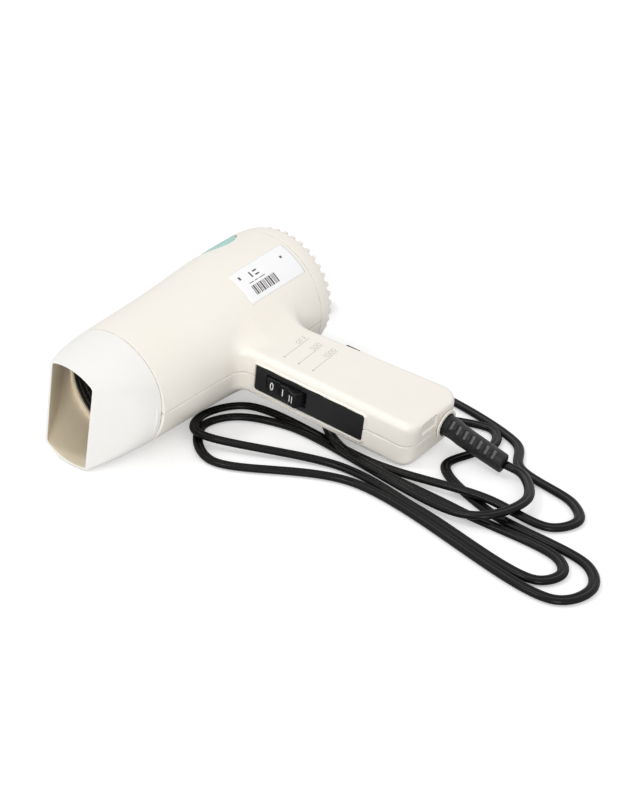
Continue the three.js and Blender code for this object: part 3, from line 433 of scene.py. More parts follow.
def casing(p, half):
    """half is +1 for the half that faces up and -1 for the one below"""
    x, y, z = axes(p)
    rho = np.hypot(x, z)
    s, v = to_handle(x, y)
    radius = barrel_radius(np.clip(y, 0, BARREL_LENGTH))
    ends = np.maximum(-y, y - BARREL_LENGTH)
    flank = np.clip((np.abs(z) - 6) / 7, 0, 1) * np.clip((v + 20) / 12, 0, 1)
    wide = np.maximum(flank, np.clip(v / 15, 0, 1))
    fillet = 8 + 6 * wide
    outer = smin(smax(rho - radius, ends, 0.5), handle_form(s, v, z), fillet)
    bead = smax(opening_plate(s, z, BEAD, 2.2), np.abs(v + 21.7) - 1.3, 0.9)
    outer = smin(outer, bead, 0.5)
    barrel_in = np.maximum(rho - radius + WALL, ends - 2)
    handle_in = handle_form(s, v, z, WALL, HANDLE_END - HANDLE_END_WALL)
    shell = smax(outer, -np.minimum(barrel_in, handle_in), 0.4)
    hole = np.maximum(opening_plate(s, z, 0, 1.4), np.abs(v + 20) - 6)
    shell = smax(shell, -hole, 0.35)
    e, w = to_end(s, v)
    bore = np.maximum(np.hypot(w - CORD_V, z) - (NECK_R + GAP), np.abs(e + 3) - 7)
    shell = smax(shell, -bore, 0.4)
    b0, b1, bh = BUTTON
    slot = rounded_box(s, v, z, b0 - GAP, b1 + GAP, BUTTON_FACE - BUTTON_DEPTH, BUTTON_FACE + 5,
                       -bh - GAP, bh + GAP, 0.9)
    shell = smax(shell, -slot, 0.4)
    if half > 0:
        pocket = rounded_box(e, w, z, *END_POCKET, 0.8)
        shell = smax(shell, -pocket, 0.4)
        ellipse, depth = badge_place(x, y, z, rho, radius)
        seat = ellipse(BADGE_HALF[0] + GAP, BADGE_HALF[1] + GAP)
        shell = smax(shell, -np.maximum(seat, -(depth + 1.5)), 0.5)
        # shallow rounded mark beside the nozzle joint
        patch = rounded_rect(y - 14.9, z + 3.5, 3.2, 1.5, 0.7)
        shell = np.where(x > 0, shell - 0.12 * np.clip(0.5 - patch, 0, 1), shell)
    else:
        for bs, bv in BOSSES:
            across = np.hypot(s - bs, v - bv)
            boss = np.maximum(across - BOSS_R, np.maximum(-HANDLE_HALF + 1 - z, z + GAP / 2))
            shell = np.minimum(shell, boss)
            well = np.maximum(across - WELL_R, z - WELL_FLOOR)
            shell = smax(shell, -np.minimum(well, across - SCREW_HOLE_R), 0.3)
    return smax(shell, GAP / 2 - half * z, 0.45)


def badge_place(x, y, z, rho, radius):
    along = x * math.cos(BADGE_PHI) + z * math.sin(BADGE_PHI)
    across = -x * math.sin(BADGE_PHI) + z * math.cos(BADGE_PHI)

    def ellipse(a, b):
        e = np.hypot((y - BADGE_Y) / a, across / b)
        return np.where(along > 0, (e - 1) * min(a, b), 20)
    return ellipse, rho - radius


def badge(p):
    x, y, z = axes(p)
    rho = np.hypot(x, z)
    radius = barrel_radius(y)
    ellipse, depth = badge_place(x, y, z, rho, radius)
    return smax(smax(ellipse(*BADGE_HALF), depth + 0.35, 0.9), -(depth + 1.2), 0.2)


def nozzle_form(x, y, z, inset, front, back):
    r0 = BARREL[0][0] - inset
    r1 = MOUTH_RADIUS - inset
    slope = (r0 - r1) / NOZZLE_LENGTH
    cone = np.hypot(x, z) - (r0 + slope * y)
    taper = (BARREL[0][0] - 0.6 - MOUTH_HALF) / (NOZZLE_LENGTH - 3.0)
    side = MOUTH_HALF - inset * math.hypot(1, taper) + taper * (y + NOZZLE_LENGTH)
    flat = (np.abs(x) - side) / math.hypot(1, taper)
    t = np.clip((y + NOZZLE_LENGTH) / NOZZLE_LENGTH, 0, 1)
    crease = 1.4 + 5.6 * t
    return np.maximum(smax(cone, flat, crease), np.maximum(front - y, y - back))


def nozzle(p):
    x, y, z = axes(p)
    body = smax(nozzle_form(x, y, z, 0, -NOZZLE_LENGTH, -GAP),
                -nozzle_form(x, y, z, NOZZLE_WALL, -NOZZLE_LENGTH - 5, 4), 0.55)
    rho = np.hypot(x, z)
    spigot = np.maximum(np.abs(rho - SPIGOT_R + 0.8) - 0.8, np.maximum(-3.2 - y, y - 6.4))
    lip = np.maximum(np.abs(rho - SPIGOT_R + 0.2) - 1.4, np.maximum(-3.2 - y, y + GAP))
    return smin(body, np.minimum(spigot, lip), 0.3)


def rear_cover(p):
    x, y, z = axes(p)
    rho = np.hypot(x, z)
    angle = np.arctan2(z, x)
    pitch = 2 * math.pi / RIBS
    order = np.floor(angle / pitch)
    offset = angle - (order + 0.5) * pitch
    out = rho * np.cos(offset)
    across = np.abs(rho * np.sin(offset))
    bore = 35.2 - rho
    skirt = np.maximum(np.maximum(bore, rho - 36.3), np.maximum(121 - y, y - 130))
    edge = np.interp(y, [COVER_START, 130, 134, COVER_END], [39.3, 39.0, 38.4, 37.4])
    band = smax(rho - edge, np.maximum(COVER_START - y, y - COVER_END), 0.6)
    band = np.maximum(band, bore)
    plate = smax(rho - 36.9, np.maximum(COVER_PLATE - y, y - RIB_END), 1.2)
    boss = smax(rho - 9, np.maximum(COVER_PLATE - y, y - RIB_END - 1), 0.8)
    solid = np.minimum(np.minimum(skirt, smin(band, plate, 0.4)), boss)
    notch = np.maximum(across - 1.5, np.maximum(34.6 - out, COVER_END - y))
    vent = np.maximum(across - 1.5, np.maximum(np.abs(out - 29.9) - 4.9, 130 - y))
    inner = np.maximum(across - 1.4, np.maximum(np.abs(out - 17) - 5.5, 130 - y))
    inner = np.where(np.mod(order, 2) == 0, inner, 9)
    return smax(solid, -np.minimum(np.minimum(notch, vent), inner), 0.6)


def front_grille(p):
    x, y, z = axes(p)
    rho = np.hypot(x, z)
    wire = 0.75
    ring = smax(np.abs(rho - 28.95) - 1.75, np.abs(y - GRILLE_Y) - 1.1, 0.5)
    for r in (20, 12):
        ring = np.minimum(ring, np.hypot(rho - r, y - GRILLE_Y) - wire)
    angle = np.arctan2(z, x)
    pitch = math.pi / 3
    near = np.round(angle / pitch - 0.5) * pitch + pitch / 2
    bar = np.hypot(rho * np.sin(angle - near), y - GRILLE_Y) - wire
    bar = np.maximum(bar, np.abs(rho - 20) - 8.4)
    return smin(ring, bar, 0.6)


def nozzle_inside(p):
    x, y, z = axes(p)
    within = nozzle_form(x, y, z, NOZZLE_WALL / 2, -NOZZLE_LENGTH - 5, 12) < 0
    return within & (np.abs(y + NOZZLE_LENGTH) > 0.5)


def dark_throat_sleeve(p):
    """black grooved sleeve in front of the grille and inside the nozzle's spigot: its grooves give
    the rings seen deep in the outlet, its black is painted shade there
    """
    x, y, z = axes(p)
    rho = np.hypot(x, z)
    shade_wall = smax(np.abs(rho - 27.8) - 0.6, np.abs(y - 2.7) - 5.2, 0.4)
    groove = np.abs(np.mod(y + 2.5, 3.0) - 1.5) - 0.5
    return smax(shade_wall, -np.maximum(rho - 27.7, groove), 0.15)


def switch_plate(p):
    s, v, z = axes(p)
    s0, s1, half = ROCKER_OPENING
    middle = PLATE_FACE + PLATE_THICK / 2
    plate = smax(opening_plate(s, z, -GAP, 1.2), np.abs(v - middle) - PLATE_THICK / 2, 0.5)
    hole = rounded_rect(s - (s0 + s1) / 2, z, (s1 - s0) / 2, half, 0.8)
    return smax(plate, -hole, 0.35)


# side outline of the key: (distance from the pivot, height over the plate)
ROCKER = [
    (-11.8, -3.0), (-12.0, 0.2), (-11.3, 1.0), (-9.6, 1.5), (-6.4, 1.5), (-4.7, 1.0), (-4.0, 1.1),
    (-3.0, 2.0), (-1.6, 2.4), (1.0, 2.4), (2.2, 2.2), (3.0, 2.7), (4.4, 3.9), (7.4, 4.5),
    (8.9, 4.3), (10.9, 0.9), (11.3, -2.0), (11.0, -5.0), (5.0, -9.5), (0.0, -11.0), (-5.0, -9.5),
    (-10.6, -5.6),
]


def rocker(p):
    s, v, z = axes(p)
    s = s - PIVOT_S
    h = PLATE_FACE - v
    body = smax(polygon(s, h, ROCKER) + 0.05, np.abs(z) - 4.5, 0.5)
    ring = np.abs(np.hypot((s + 8.0) / 1.95, z / 3.0) - 1) * 1.9 - 0.16
    body = smax(body, -np.maximum(ring, 1.3 - h), 0.15)
    return np.maximum(body, 1.45 - np.hypot(s, v - PLATE_FACE - PIVOT_DROP))


BUTTON_MID = (BUTTON[0] + BUTTON[1]) / 2
BUTTON_FACE = float(handle_rear(np.array(BUTTON_MID))) + BUTTON_OUT


def rear_button(p):
    s, v, z = axes(p)
    s0, s1, half = BUTTON
    back = BUTTON_FACE - BUTTON_DEPTH
    cap = rounded_box(s, v, z, s0, s1, back, BUTTON_FACE, -half, half, 1.1)
    grip = np.abs(np.mod(z + 0.9, 1.8) - 0.9) - 0.25
    cap = smax(cap, -np.maximum(grip, BUTTON_FACE - 0.35 - v), 0.2)
    flange = rounded_box(s, v, z, s0 - 1.4, s1 + 1.4, back - 0.2, back + 0.8,
                         -half - 0.8, half + 0.8, 0.3)
    stem = np.maximum(np.hypot(s - BUTTON_MID, z) - 1.6, np.abs(v - back + 1.7) - 1.9)
    return np.minimum(np.minimum(cap, flange), stem)


def cord_bush(p):
    s, v, z = axes(p)
    h, w = to_end(s, v)
    r = np.hypot(w - CORD_V, z)
    middle = (NECK_BORE + NECK_R) / 2
    neck = np.maximum(np.abs(r - middle) - (NECK_R - NECK_BORE) / 2, np.maximum(-5.5 - h, h - 1.3))
    lip_r, lip_h = np.abs(r - 7.35) - 0.4, np.abs(h - 0.6) - 0.1
    lip = np.hypot(np.maximum(lip_r, 0), np.maximum(lip_h, 0)) - 0.55
    return np.minimum(neck, smax(lip, GAP - h, 0.3))


def relief_axis(s):
    d = np.maximum(s - HANDLE_END, 0)
    return CORD_V - RELIEF_LEAN * d * np.minimum(1, d / 12)


def relief_halves(s):
    """half width (toward the rear) and half height (across the split) of the tapering sleeve"""
    t = np.clip((s - HANDLE_END) / (RELIEF_END - HANDLE_END), 0, 1)
    return RELIEF_HALF - RELIEF_LOSS[0] * t, RELIEF_HALF - RELIEF_LOSS[1] * t


def relief_slots(p, grow):
    """oval pockets along two opposite sides of the sleeve, made larger by grow"""
    s, v, z = axes(p)
    w, h = relief_halves(s)
    c = v - relief_axis(s)
    ca, sa = math.cos(SLOT_TURN), math.sin(SLOT_TURN)
    out = np.abs(z * ca - c * sa)
    around = c * ca + z * sa
    reach = np.hypot(h * ca, w * sa)
    ds = from_nearest(s, SLOT_START, SLOT_PITCH, SLOT_LAST)
    oblong = rounded_rect(ds, around, 1.1 + grow, 2.6 + grow, 1.0 + grow)
    return np.maximum(oblong, reach - SLOT_DEEP - out)


def strain_relief(p):
    s, v, z = axes(p)
    w, h = relief_halves(s)
    c = v - relief_axis(s)
    squareness = 2.2
    level = (np.abs(c / w) ** squareness + np.abs(z / h) ** squareness + 1e-9) ** (1 / squareness)
    body = smax((level - 1) * np.minimum(w, h), np.maximum(RELIEF_START - s, s - RELIEF_END), 0.9)
    body = smin(body, np.maximum(relief_slots(p, 0.45), level - 1.035), 0.3)
    body = smax(body, -relief_slots(p, 0), 0.25)
    bore = rounded_rect(c, z, CORD_WIDTH / 2 + 0.1, CORD_THICK / 2 + 0.1, 1.5)
    return smax(body, -np.maximum(bore, RELIEF_END - 1.0 - s), 0.3)


# ---------------------------------------------------------------- swept tubes
def frames_along(points):
    """tangents along a polyline of (n, 3)"""
    d = np.gradient(points, axis=0)
    return d / np.linalg.norm(d, axis=1, keepdims=True)


def sweep(name, points, section, side, up, steps, close=True):
    """section (k, 2) carried along points on the given side and up vectors, its ends filled"""
    n, k = len(points), len(section)
    rings = (points[:, None, :] + section[None, :, 0, None] * side[:, None, :]
             + section[None, :, 1, None] * up[:, None, :])
    verts = rings.reshape(-1, 3)
    i = np.arange(n - 1)[:, None] * k
    j = np.arange(k)[None, :]
    j2 = (j + 1) % k
    quads = np.stack([i + j, i + j2, i + k + j2, i + k + j], -1).reshape(-1, 4)
    if close:
        centre0, centre1 = len(verts), len(verts) + 1
        verts = np.concatenate([verts, points[:1], points[-1:]])
        last = (n - 1) * k
        caps = []
        for a in range(0, k, 2):
            b, c = (a + 1) % k, (a + 2) % k
            caps.append([centre0, c, b, a])
            caps.append([centre1, last + a, last + b, last + c])
        quads = np.concatenate([quads, np.array(caps)])
    return new_object(name, place(verts, *steps), quads)


def catmull(points, per):
    """centripetal spline through the points, as in the solids"""
    p = np.asarray(points, float)
    e = np.vstack([2 * p[0] - p[1], p, 2 * p[-1] - p[-2]])
    d = np.maximum(np.sqrt(np.linalg.norm(np.diff(e, axis=0), axis=1)), 1e-4)
    t = np.linspace(0, 1, per, endpoint=False)[:, None]
    out = []
    for i in range(len(p) - 1):
        p0, p1, p2, p3 = e[i:i + 4]
        d0, d1, d2 = d[i:i + 3]
        m1 = ((p1 - p0) / d0 - (p2 - p0) / (d0 + d1) + (p2 - p1) / d1) * d1
        m2 = ((p2 - p1) / d1 - (p3 - p1) / (d1 + d2) + (p3 - p2) / d2) * d1
        square = -3 * p1 + 3 * p2 - 2 * m1 - m2
        cube = 2 * p1 - 2 * p2 + m1 + m2
        out.append(p1 + m1 * t + square * t * t + cube * t ** 3)
    out.append(p[-1:])
    return np.concatenate(out)


def even(points, step):
    length = np.r_[0, np.cumsum(np.linalg.norm(np.diff(points, axis=0), axis=1))]
    at = np.linspace(0, length[-1], max(int(length[-1] / step), 2) + 1)
    return np.stack([np.interp(at, length, points[:, k]) for k in range(3)], 1), length[-1]


def round_section(r, sides):
    t = 2 * np.pi * np.arange(sides) / sides
    return np.stack([r * np.cos(t), r * np.sin(t)], 1)


def round_tube(name, points, r, sides, *steps):
    d = frames_along(points)
    side = np.empty_like(d)
    first = np.cross(d[0], [0, 0, 1.0] if abs(d[0][2]) < 0.9 else [1.0, 0, 0])
    side[0] = first / np.linalg.norm(first)
    for i in range(1, len(d)):
        s = side[i - 1] - d[i] * (side[i - 1] @ d[i])
        side[i] = s / np.linalg.norm(s)
    return sweep(name, points, round_section(r, sides), side, np.cross(d, side), steps)


# ---------------------------------------------------------------- materials
def material(name, base, rough=0.4, metal=0.0, coat=0.0):
    m = bpy.data.materials.new(name)
    m.use_nodes = True
    b = m.node_tree.nodes["Principled BSDF"]
    b.inputs["Base Color"].default_value = (*base, 1)
    b.inputs["Roughness"].default_value = rough
    b.inputs["Metallic"].default_value = metal
    b.inputs["Coat Weight"].default_value = coat
    b.inputs["Coat Roughness"].default_value = 0.12
    return m, m.node_tree.nodes, m.node_tree.links, b


def noise(nodes, links, scale, detail=3.0, stretch=None):
    """noise on the object's own coordinates, scale in features per metre"""
    coords = nodes.new("ShaderNodeTexCoord")
    tex = nodes.new("ShaderNodeTexNoise")
    tex.inputs["Scale"].default_value = scale
    tex.inputs["Detail"].default_value = detail
    source = coords.outputs["Object"]
    if stretch:
        mapping = nodes.new("ShaderNodeMapping")
        mapping.inputs["Scale"].default_value = stretch
        links.new(source, mapping.inputs["Vector"])
        source = mapping.outputs["Vector"]
    links.new(source, tex.inputs["Vector"])
    return tex.outputs["Fac"]


def ramp(nodes, links, value, stops):
    r = nodes.new("ShaderNodeValToRGB")
    while len(r.color_ramp.elements) < len(stops):
        r.color_ramp.elements.new(0.5)
    for e, (at, colour) in zip(r.color_ramp.elements, stops):
        e.position = at
        e.color = (*colour, 1)
    links.new(value, r.inputs["Fac"])
    return r.outputs["Color"]


def vary_roughness(nodes, links, b, value, low, high):
    span = nodes.new("ShaderNodeMapRange")
    span.inputs["From Min"].default_value = 0.3
    span.inputs["From Max"].default_value = 0.7
    span.inputs["To Min"].default_value = low
    span.inputs["To Max"].default_value = high
    links.new(value, span.inputs["Value"])
    links.new(span.outputs["Result"], b.inputs["Roughness"])


def add_bump(nodes, links, b, value, strength, distance):
    bump = nodes.new("ShaderNodeBump")
    bump.inputs["Strength"].default_value = strength
    bump.inputs["Distance"].default_value = distance
    links.new(value, bump.inputs["Height"])
    links.new(bump.outputs["Normal"], b.inputs["Normal"])


def moulded(name, light, dark, low, high, grain=5200.0, strength=0.06, coat=0.0, shine=0.5):
    """moulded plastic: slow drift between two close colours, patchy gloss, fine grain"""
    m, nodes, links, b = material(name, light, coat=coat)
    b.inputs["Specular IOR Level"].default_value = shine
    drift = noise(nodes, links, 22.0, 4.0)
    links.new(ramp(nodes, links, drift, [(0.32, dark), (0.68, light)]), b.inputs["Base Color"])
    vary_roughness(nodes, links, b, noise(nodes, links, 160.0, 5.0), low, high)
    add_bump(nodes, links, b, noise(nodes, links, grain, 2.0), strength, 0.00006)
    return m


def metal(name, base, low, high, stretch=(1, 1, 1)):
    m, nodes, links, b = material(name, base, metal=1.0)
    vary_roughness(nodes, links, b, noise(nodes, links, 900.0, 4.0, stretch), low, high)
    add_bump(nodes, links, b, noise(nodes, links, 3000.0, 2.0, stretch), 0.08, 0.00005)
    return m


# light and dark base colour, least and most roughness, then grain
CREAM = moulded("cream_plastic", (0.885, 0.848, 0.78), (0.87, 0.828, 0.75), 0.30, 0.42)
WHITE = moulded("white_plastic", (0.865, 0.855, 0.83), (0.85, 0.835, 0.80), 0.30, 0.42)
# warmer colour for the inside walls of the white nozzle: painted warm shade inside the mouth
NOZZLE_PAINTED_SHADE = moulded("nozzle_painted_warm_shade", (0.93, 0.85, 0.70), (0.88, 0.77, 0.58), 0.45, 0.6)
BLACK = moulded("black_gloss", (0.011, 0.011, 0.012), (0.007, 0.007, 0.008), 0.22, 0.34,
                grain=3800, strength=0.10, shine=0.3)
PLATE_BLACK = moulded("plate_black", (0.017, 0.017, 0.018), (0.011, 0.011, 0.012), 0.36, 0.48,
                      grain=2600, strength=0.3, shine=0.3)
ENAMEL = moulded("black_enamel", (0.020, 0.018, 0.016), (0.012, 0.011, 0.010), 0.3, 0.5)
LEAD = moulded("lead_rubber", (0.006, 0.006, 0.006), (0.004, 0.004, 0.004), 0.20, 0.26,
               grain=2400, strength=0.02, shine=0.16)
RELIEF = moulded("relief_rubber", (0.016, 0.016, 0.017), (0.010, 0.010, 0.011), 0.38, 0.52,
                 grain=2600, strength=0.25, shine=0.3)
TEAL = moulded("teal_plastic", (0.26, 0.62, 0.55), (0.20, 0.55, 0.48), 0.22, 0.3, coat=0.3)
MICA = moulded("mica_sheet", (0.55, 0.43, 0.26), (0.40, 0.30, 0.17), 0.5, 0.7,
               grain=900, strength=0.4)
GREY = moulded("grey_plastic", (0.22, 0.23, 0.24), (0.18, 0.19, 0.20), 0.45, 0.6)
AMBER = moulded("dipped_film", (0.50, 0.30, 0.07), (0.42, 0.24, 0.05), 0.2, 0.35)
RED = moulded("red_insulation", (0.45, 0.05, 0.04), (0.38, 0.04, 0.03), 0.35, 0.5)
BLUE = moulded("blue_insulation", (0.05, 0.14, 0.38), (0.04, 0.11, 0.32), 0.35, 0.5)
STEEL = metal("plated_steel", (0.62, 0.62, 0.63), 0.25, 0.42, (1, 1, 12))
COIL = metal("resistance_wire", (0.42, 0.36, 0.31), 0.35, 0.55)
BRASS = metal("plain_brass", (0.72, 0.53, 0.25), 0.22, 0.38)
PAPER = moulded("label_paper", (0.93, 0.93, 0.935), (0.90, 0.90, 0.91), 0.42, 0.55,
                grain=3000, strength=0.1)
PRINT, *_ = material("grey_print", (0.30, 0.38, 0.33), 0.55)
LABEL_INK, *_ = material("label_ink", (0.09, 0.075, 0.075), 0.6)
# lighter grey for the floors of the sleeve's slots: a painted sheen where the floors catch the light
SLOT_FLOOR_SHEEN, *_ = material("slot_floor_painted_sheen", (0.055, 0.055, 0.057), 0.4)
MARK, *_ = material("white_mark", (0.88, 0.88, 0.87), 0.45)

# nodes that are shown as the solids have them
NODE_LOOKS = {
    CREAM: ["motor_mount"],
    WHITE: ["fan"],
    STEEL: ["casing_screw_1", "casing_screw_2", "casing_screw_3", "casing_screw_4",
            "clamp_screw_1", "clamp_screw_2", "thermostat", "thermal_fuse", "motor_can",
            "motor_shaft", "rocker_pin"],
    GREY: ["motor_end_cap", "switch_body", "button_switch", "cord_clamp", "intake_screen",
           "plug_sleeve_1", "plug_sleeve_2"],
    BRASS: ["switch_terminal_1", "switch_terminal_2", "switch_terminal_3", "plug_pin_1",
            "plug_pin_2"],
    MICA: ["heater_tube", "heater_board_a", "heater_board_b", "rectifier_board"],
    BLACK: ["half_power_diode"],
    AMBER: ["capacitor"],
    LEAD: ["lead_inner"],
    RED: ["wire_live", "wire_switched"],
    BLUE: ["wire_neutral"],
}
for look, names in NODE_LOOKS.items():
    for node in names:
        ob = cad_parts[node]
        ob.data.materials.clear()
        ob.data.materials.append(look)


def dress(ob, look, body, slot, *nodes):
    ob.data.materials.clear()
    ob.data.materials.append(look)
    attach(ob, body)
    if nodes:
        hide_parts(*nodes)
    return ob


def paint_where(ob, test, *steps):
    """second material on the faces whose middle, in mm on the form's own axes, passes the test"""
    m = TO_METRES.copy()
    for step in steps:
        m = m @ step
    back = np.array(m.inverted())
    middle = np.empty(3 * len(ob.data.polygons))
    ob.data.polygons.foreach_get("center", middle)
    middle = middle.reshape(-1, 3) @ back[:3, :3].T + back[:3, 3]
    ob.data.polygons.foreach_set("material_index", test(middle).astype(np.int32))


# ---------------------------------------------------------------- cord and plug
route, cord_length = even(catmull(CORD_ROUTE, 60), 1.6)
route[:, 2] = np.maximum(route[:, 2], CORD_THICK / 2 + 0.15)
along = frames_along(route)
cord_side = np.stack([-along[:, 1], along[:, 0], 0 * along[:, 0]], 1)
cord_side /= np.linalg.norm(cord_side, axis=1, keepdims=True)
cord_up = np.cross(along, cord_side)
# two round cores side by side with a shallow valley between them
core = CORD_THICK / 2
apart = (CORD_WIDTH - CORD_THICK) / 2
VALLEY = 1.06
lobe = []
for turn, way in ((0.0, 1), (180.0, -1)):
    for i in range(13):
        t = math.radians(turn - 125 + 250 * i / 12)
        lobe.append((way * apart + core * math.cos(t), core * math.sin(t)))
    lobe.append((0.0, way * VALLEY))
cord = sweep("lead", route, np.array(lobe), cord_side, cord_up, [ON_ROW])
dress(cord, LEAD, "casing", "black_rubber", "cord")

heading = along[-1]
plug_turn = Matrix.Rotation(math.atan2(heading[1], heading[0]), 4, "Z")
ON_PLUG = ON_ROW @ Matrix.Translation(Vector(route[-1])) @ plug_turn


def plug_body(p):
    x, y, z = axes(p)
    start, end = PLUG_ENDS
    wide = np.interp(x, [start, 9, 14, 20, 25, end], [4.2, 4.6, 8.5, 15.5, 17.6, 17.6])
    thick = np.interp(x, [start, 9, 14, 22, end], [3.4, 4.0, 5.4, PLUG_HALF, PLUG_HALF])
    across = rounded_rect(y, z, wide, thick, 2.6)
    body = smax(across * 0.8, np.maximum(start - x, x - end), 1.6)
    grip = np.hypot(from_nearest(x, 23.5, 2.6, 3), np.abs(z) - PLUG_HALF - 0.15) - 0.75
    body = smax(body, -np.maximum(grip, np.abs(y) - 10.5), 0.5)
    groove = np.abs(from_nearest(x, 3.5, 2.2, 2)) - 0.35
    return smax(body, -np.maximum(groove, -across - 0.7), 0.3)


plug = shaped("plug_shell", plug_body, (-0.5, -19, -7.8), (37.6, 19, 7.8), 0.45, ON_PLUG)
dress(plug, LEAD, "casing", "black_rubber", "plug_body")
tuple(place(route[:1], ON_ROW)[0])
[tuple(q) for q in place(route, ON_ROW)]

# ---------------------------------------------------------------- casing and its trim
for node, half in (("casing_top", 1), ("casing_bottom", -1)):
    low, high = (-1, 42) if half > 0 else (-42, 1)
    shell = shaped(node + "_shell", lambda p, h=half: casing(p, h), (-42, -2, low),
                   (148, 132, high), 0.75, LIE)
    dress(shell, CREAM, "casing", "cream_plastic", node)
dress(shaped("badge_oval", badge, (-45, 90, 0), (-5, 125, 42), 0.5, LIE), TEAL, "casing",
      "teal_plastic", "badge")
shell = shaped("nozzle_shell", nozzle, (-35, -36, -35), (35, 8, 35), 0.6, LIE, ON_NOZZLE)
dress(shell, WHITE, "nozzle", "white_plastic", "nozzle")
# faces inside the nozzle take the painted warm shade as their second material
shell.data.materials.append(NOZZLE_PAINTED_SHADE)
paint_where(shell, nozzle_inside, LIE, ON_NOZZLE)
# black sleeve in the outlet: painted shade deep in the throat
throat = shaped("dark_throat_sleeve", dark_throat_sleeve, (-30, -4, -30), (30, 9, 30), 0.5, LIE)
dress(throat, ENAMEL, "casing", "black_enamel")
dress(shaped("cover_shell", rear_cover, (-41, 119, -41), (41, 142, 41), 0.6, LIE), CREAM, "casing",
      "cream_plastic", "rear_cover")
dress(shaped("grille_rings", front_grille, (-32, 7.5, -32), (32, 11.2, 32), 0.4, LIE), ENAMEL,
      "casing", "black_enamel", "front_grille")
dress(shaped("plate_skin", switch_plate, (43, -24, -10), (114, -19, 10), 0.35, LIE, ON_HANDLE),
      PLATE_BLACK, "casing", "black_gloss", "switch_plate")
dress(shaped("rocker_key", rocker, (51, -28.5, -6), (78, -10, 6), 0.25, LIE, ON_HANDLE), BLACK,
      "rocker", "black_gloss", "rocker")
dress(shaped("button_key", rear_button, (68, 11, -11), (83, 26, 11), 0.3, LIE, ON_HANDLE), BLACK,
      "rear_button", "black_gloss", "rear_button")
dress(shaped("collar_ring", cord_bush, (135, 0, -10), (146, 20, 10), 0.3, LIE, ON_HANDLE), CREAM,
      "casing", "cream_plastic", "cord_bush")
sleeve = shaped("relief_sleeve", strain_relief, (135, -8, -7), (184, 17, 7), 0.3, LIE, ON_HANDLE)
dress(sleeve, RELIEF, "casing", "black_rubber", "strain_relief")
# the slot floors take the painted sheen as their second material
sleeve.data.materials.append(SLOT_FLOOR_SHEEN)
paint_where(sleeve, lambda q: relief_slots(q, -0.12) < 0.1, LIE, ON_HANDLE)


# ---------------------------------------------------------------- windings
def helix(middle, radius, turns, start, run, per_turn):
    """(n, 3) points winding round a line that runs along y at x = middle"""
    t = np.linspace(0, 1, turns * per_turn + 1)
    angle = 2 * math.pi * turns * t
    return np.stack([middle + radius * np.cos(angle), start + run * t, radius * np.sin(angle)], 1)


winding = helix(0, COIL_R, COIL_TURNS, COIL_START, COIL_RUN, 48)
dress(round_tube("heater_wire", winding, 0.5, 10, LIE), COIL, "casing", "steel", "heater_coil")
spring_from = SWITCH_TOP + 0.5
spring_run = BUTTON_FACE - BUTTON_DEPTH - 0.7 - spring_from
winding = helix(BUTTON_MID, SPRING_R, SPRING_TURNS, spring_from, spring_run, 32)
spring = round_tube("spring_wire", winding, 0.35, 8, LIE, ON_HANDLE)
dress(spring, STEEL, "casing", "steel", "button_spring")
spring_foot = place(np.array([[BUTTON_MID, spring_from - 0.35, 0.0]]), LIE, ON_HANDLE)[0]
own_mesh(spring)


# ---------------------------------------------------------------- print, marks and label
def strokes(name, lines, width, lift, *steps):
    """flat ribbons along lines [(a, b), ...]; lift(a, b) gives the 3-D point of each drawn point"""
    verts, faces = [], []
    for line in lines:
        q = np.array(line, float)
        d = np.gradient(q, axis=0)
        d /= np.maximum(np.linalg.norm(d, axis=1, keepdims=True), 1e-9)
        across = np.stack([-d[:, 1], d[:, 0]], 1) * width / 2
        base = len(verts)
        for k in range(len(q)):
            verts.append(lift(*(q[k] + across[k])))
            verts.append(lift(*(q[k] - across[k])))
        for k in range(len(q) - 1):
            i = base + 2 * k
            faces.append((i, i + 1, i + 3, i + 2))
    return new_object(name, place(np.array(verts), *steps), faces, smooth=False)


def oval(ca, cb, ra, rb, n=28, start=0.0, stop=360.0):
    out = []
    for i in range(n + 1):
        a = math.radians(start + (stop - start) * i / n)
        out.append((ca + ra * math.cos(a), cb + rb * math.sin(a)))
    return out


def letter(ch, x, w, h):
    """strokes of one letter or figure, w wide and h high, with its foot at 0"""
    if ch == "O" or ch == "0":
        return [oval(x + w / 2, h / 2, w / 2, h / 2)]
    if ch == "F":
        return [[(x, 0), (x, h)], [(x, h), (x + 0.75 * w, h)],
                [(x, 0.5 * h), (x + 0.6 * w, 0.5 * h)]]
    if ch == "1":
        return [[(x + 0.3 * w, 0), (x + 0.3 * w, h)], [(x + 0.3 * w, h), (x, 0.82 * h)]]
    if ch == "5":
        bowl = oval(x + 0.42 * w, 0.32 * h, 0.46 * w, 0.32 * h, 20, 118, -140)
        return [[(x + 0.85 * w, h), (x + 0.15 * w, h), (x + 0.08 * w, 0.56 * h)], bowl]
    return []


# words of the power scale: (word, start across the handle, space between letters)
SCALE_WORDS = (("OFF", 1.5, 1.15), ("500", 1.9, 0.6), ("1000", 1.2, 0.6))
scale_lines = []
for row, (word, start, space) in enumerate(SCALE_WORDS):
    s = SCALE_START + SCALE_PITCH * row
    scale_lines.append([(s, -13.2), (s, 9.5)])
    at = start
    for ch in word:
        w = 1.0 if ch == "1" else 2.0
        for line in letter(ch, at, w, 2.8):
            scale_lines.append([(s - 0.85 - b, a) for a, b in line])
        at += w + space
face_z = HANDLE_HALF + 0.035
scale = strokes("scale_print", scale_lines, 0.2, lambda s, v: (s, v, face_z), LIE, ON_HANDLE)
dress(scale, PRINT, "casing", "black_gloss")
dots = [oval(SCALE_START + SCALE_PITCH * row, -13.7, 0.26, 0.26, 14) for row in range(3)]
scale = strokes("scale_dots", dots, 0.45, lambda s, v: (s, v, face_z + 0.01), LIE, ON_HANDLE)
dress(scale, PRINT, "casing", "black_gloss")


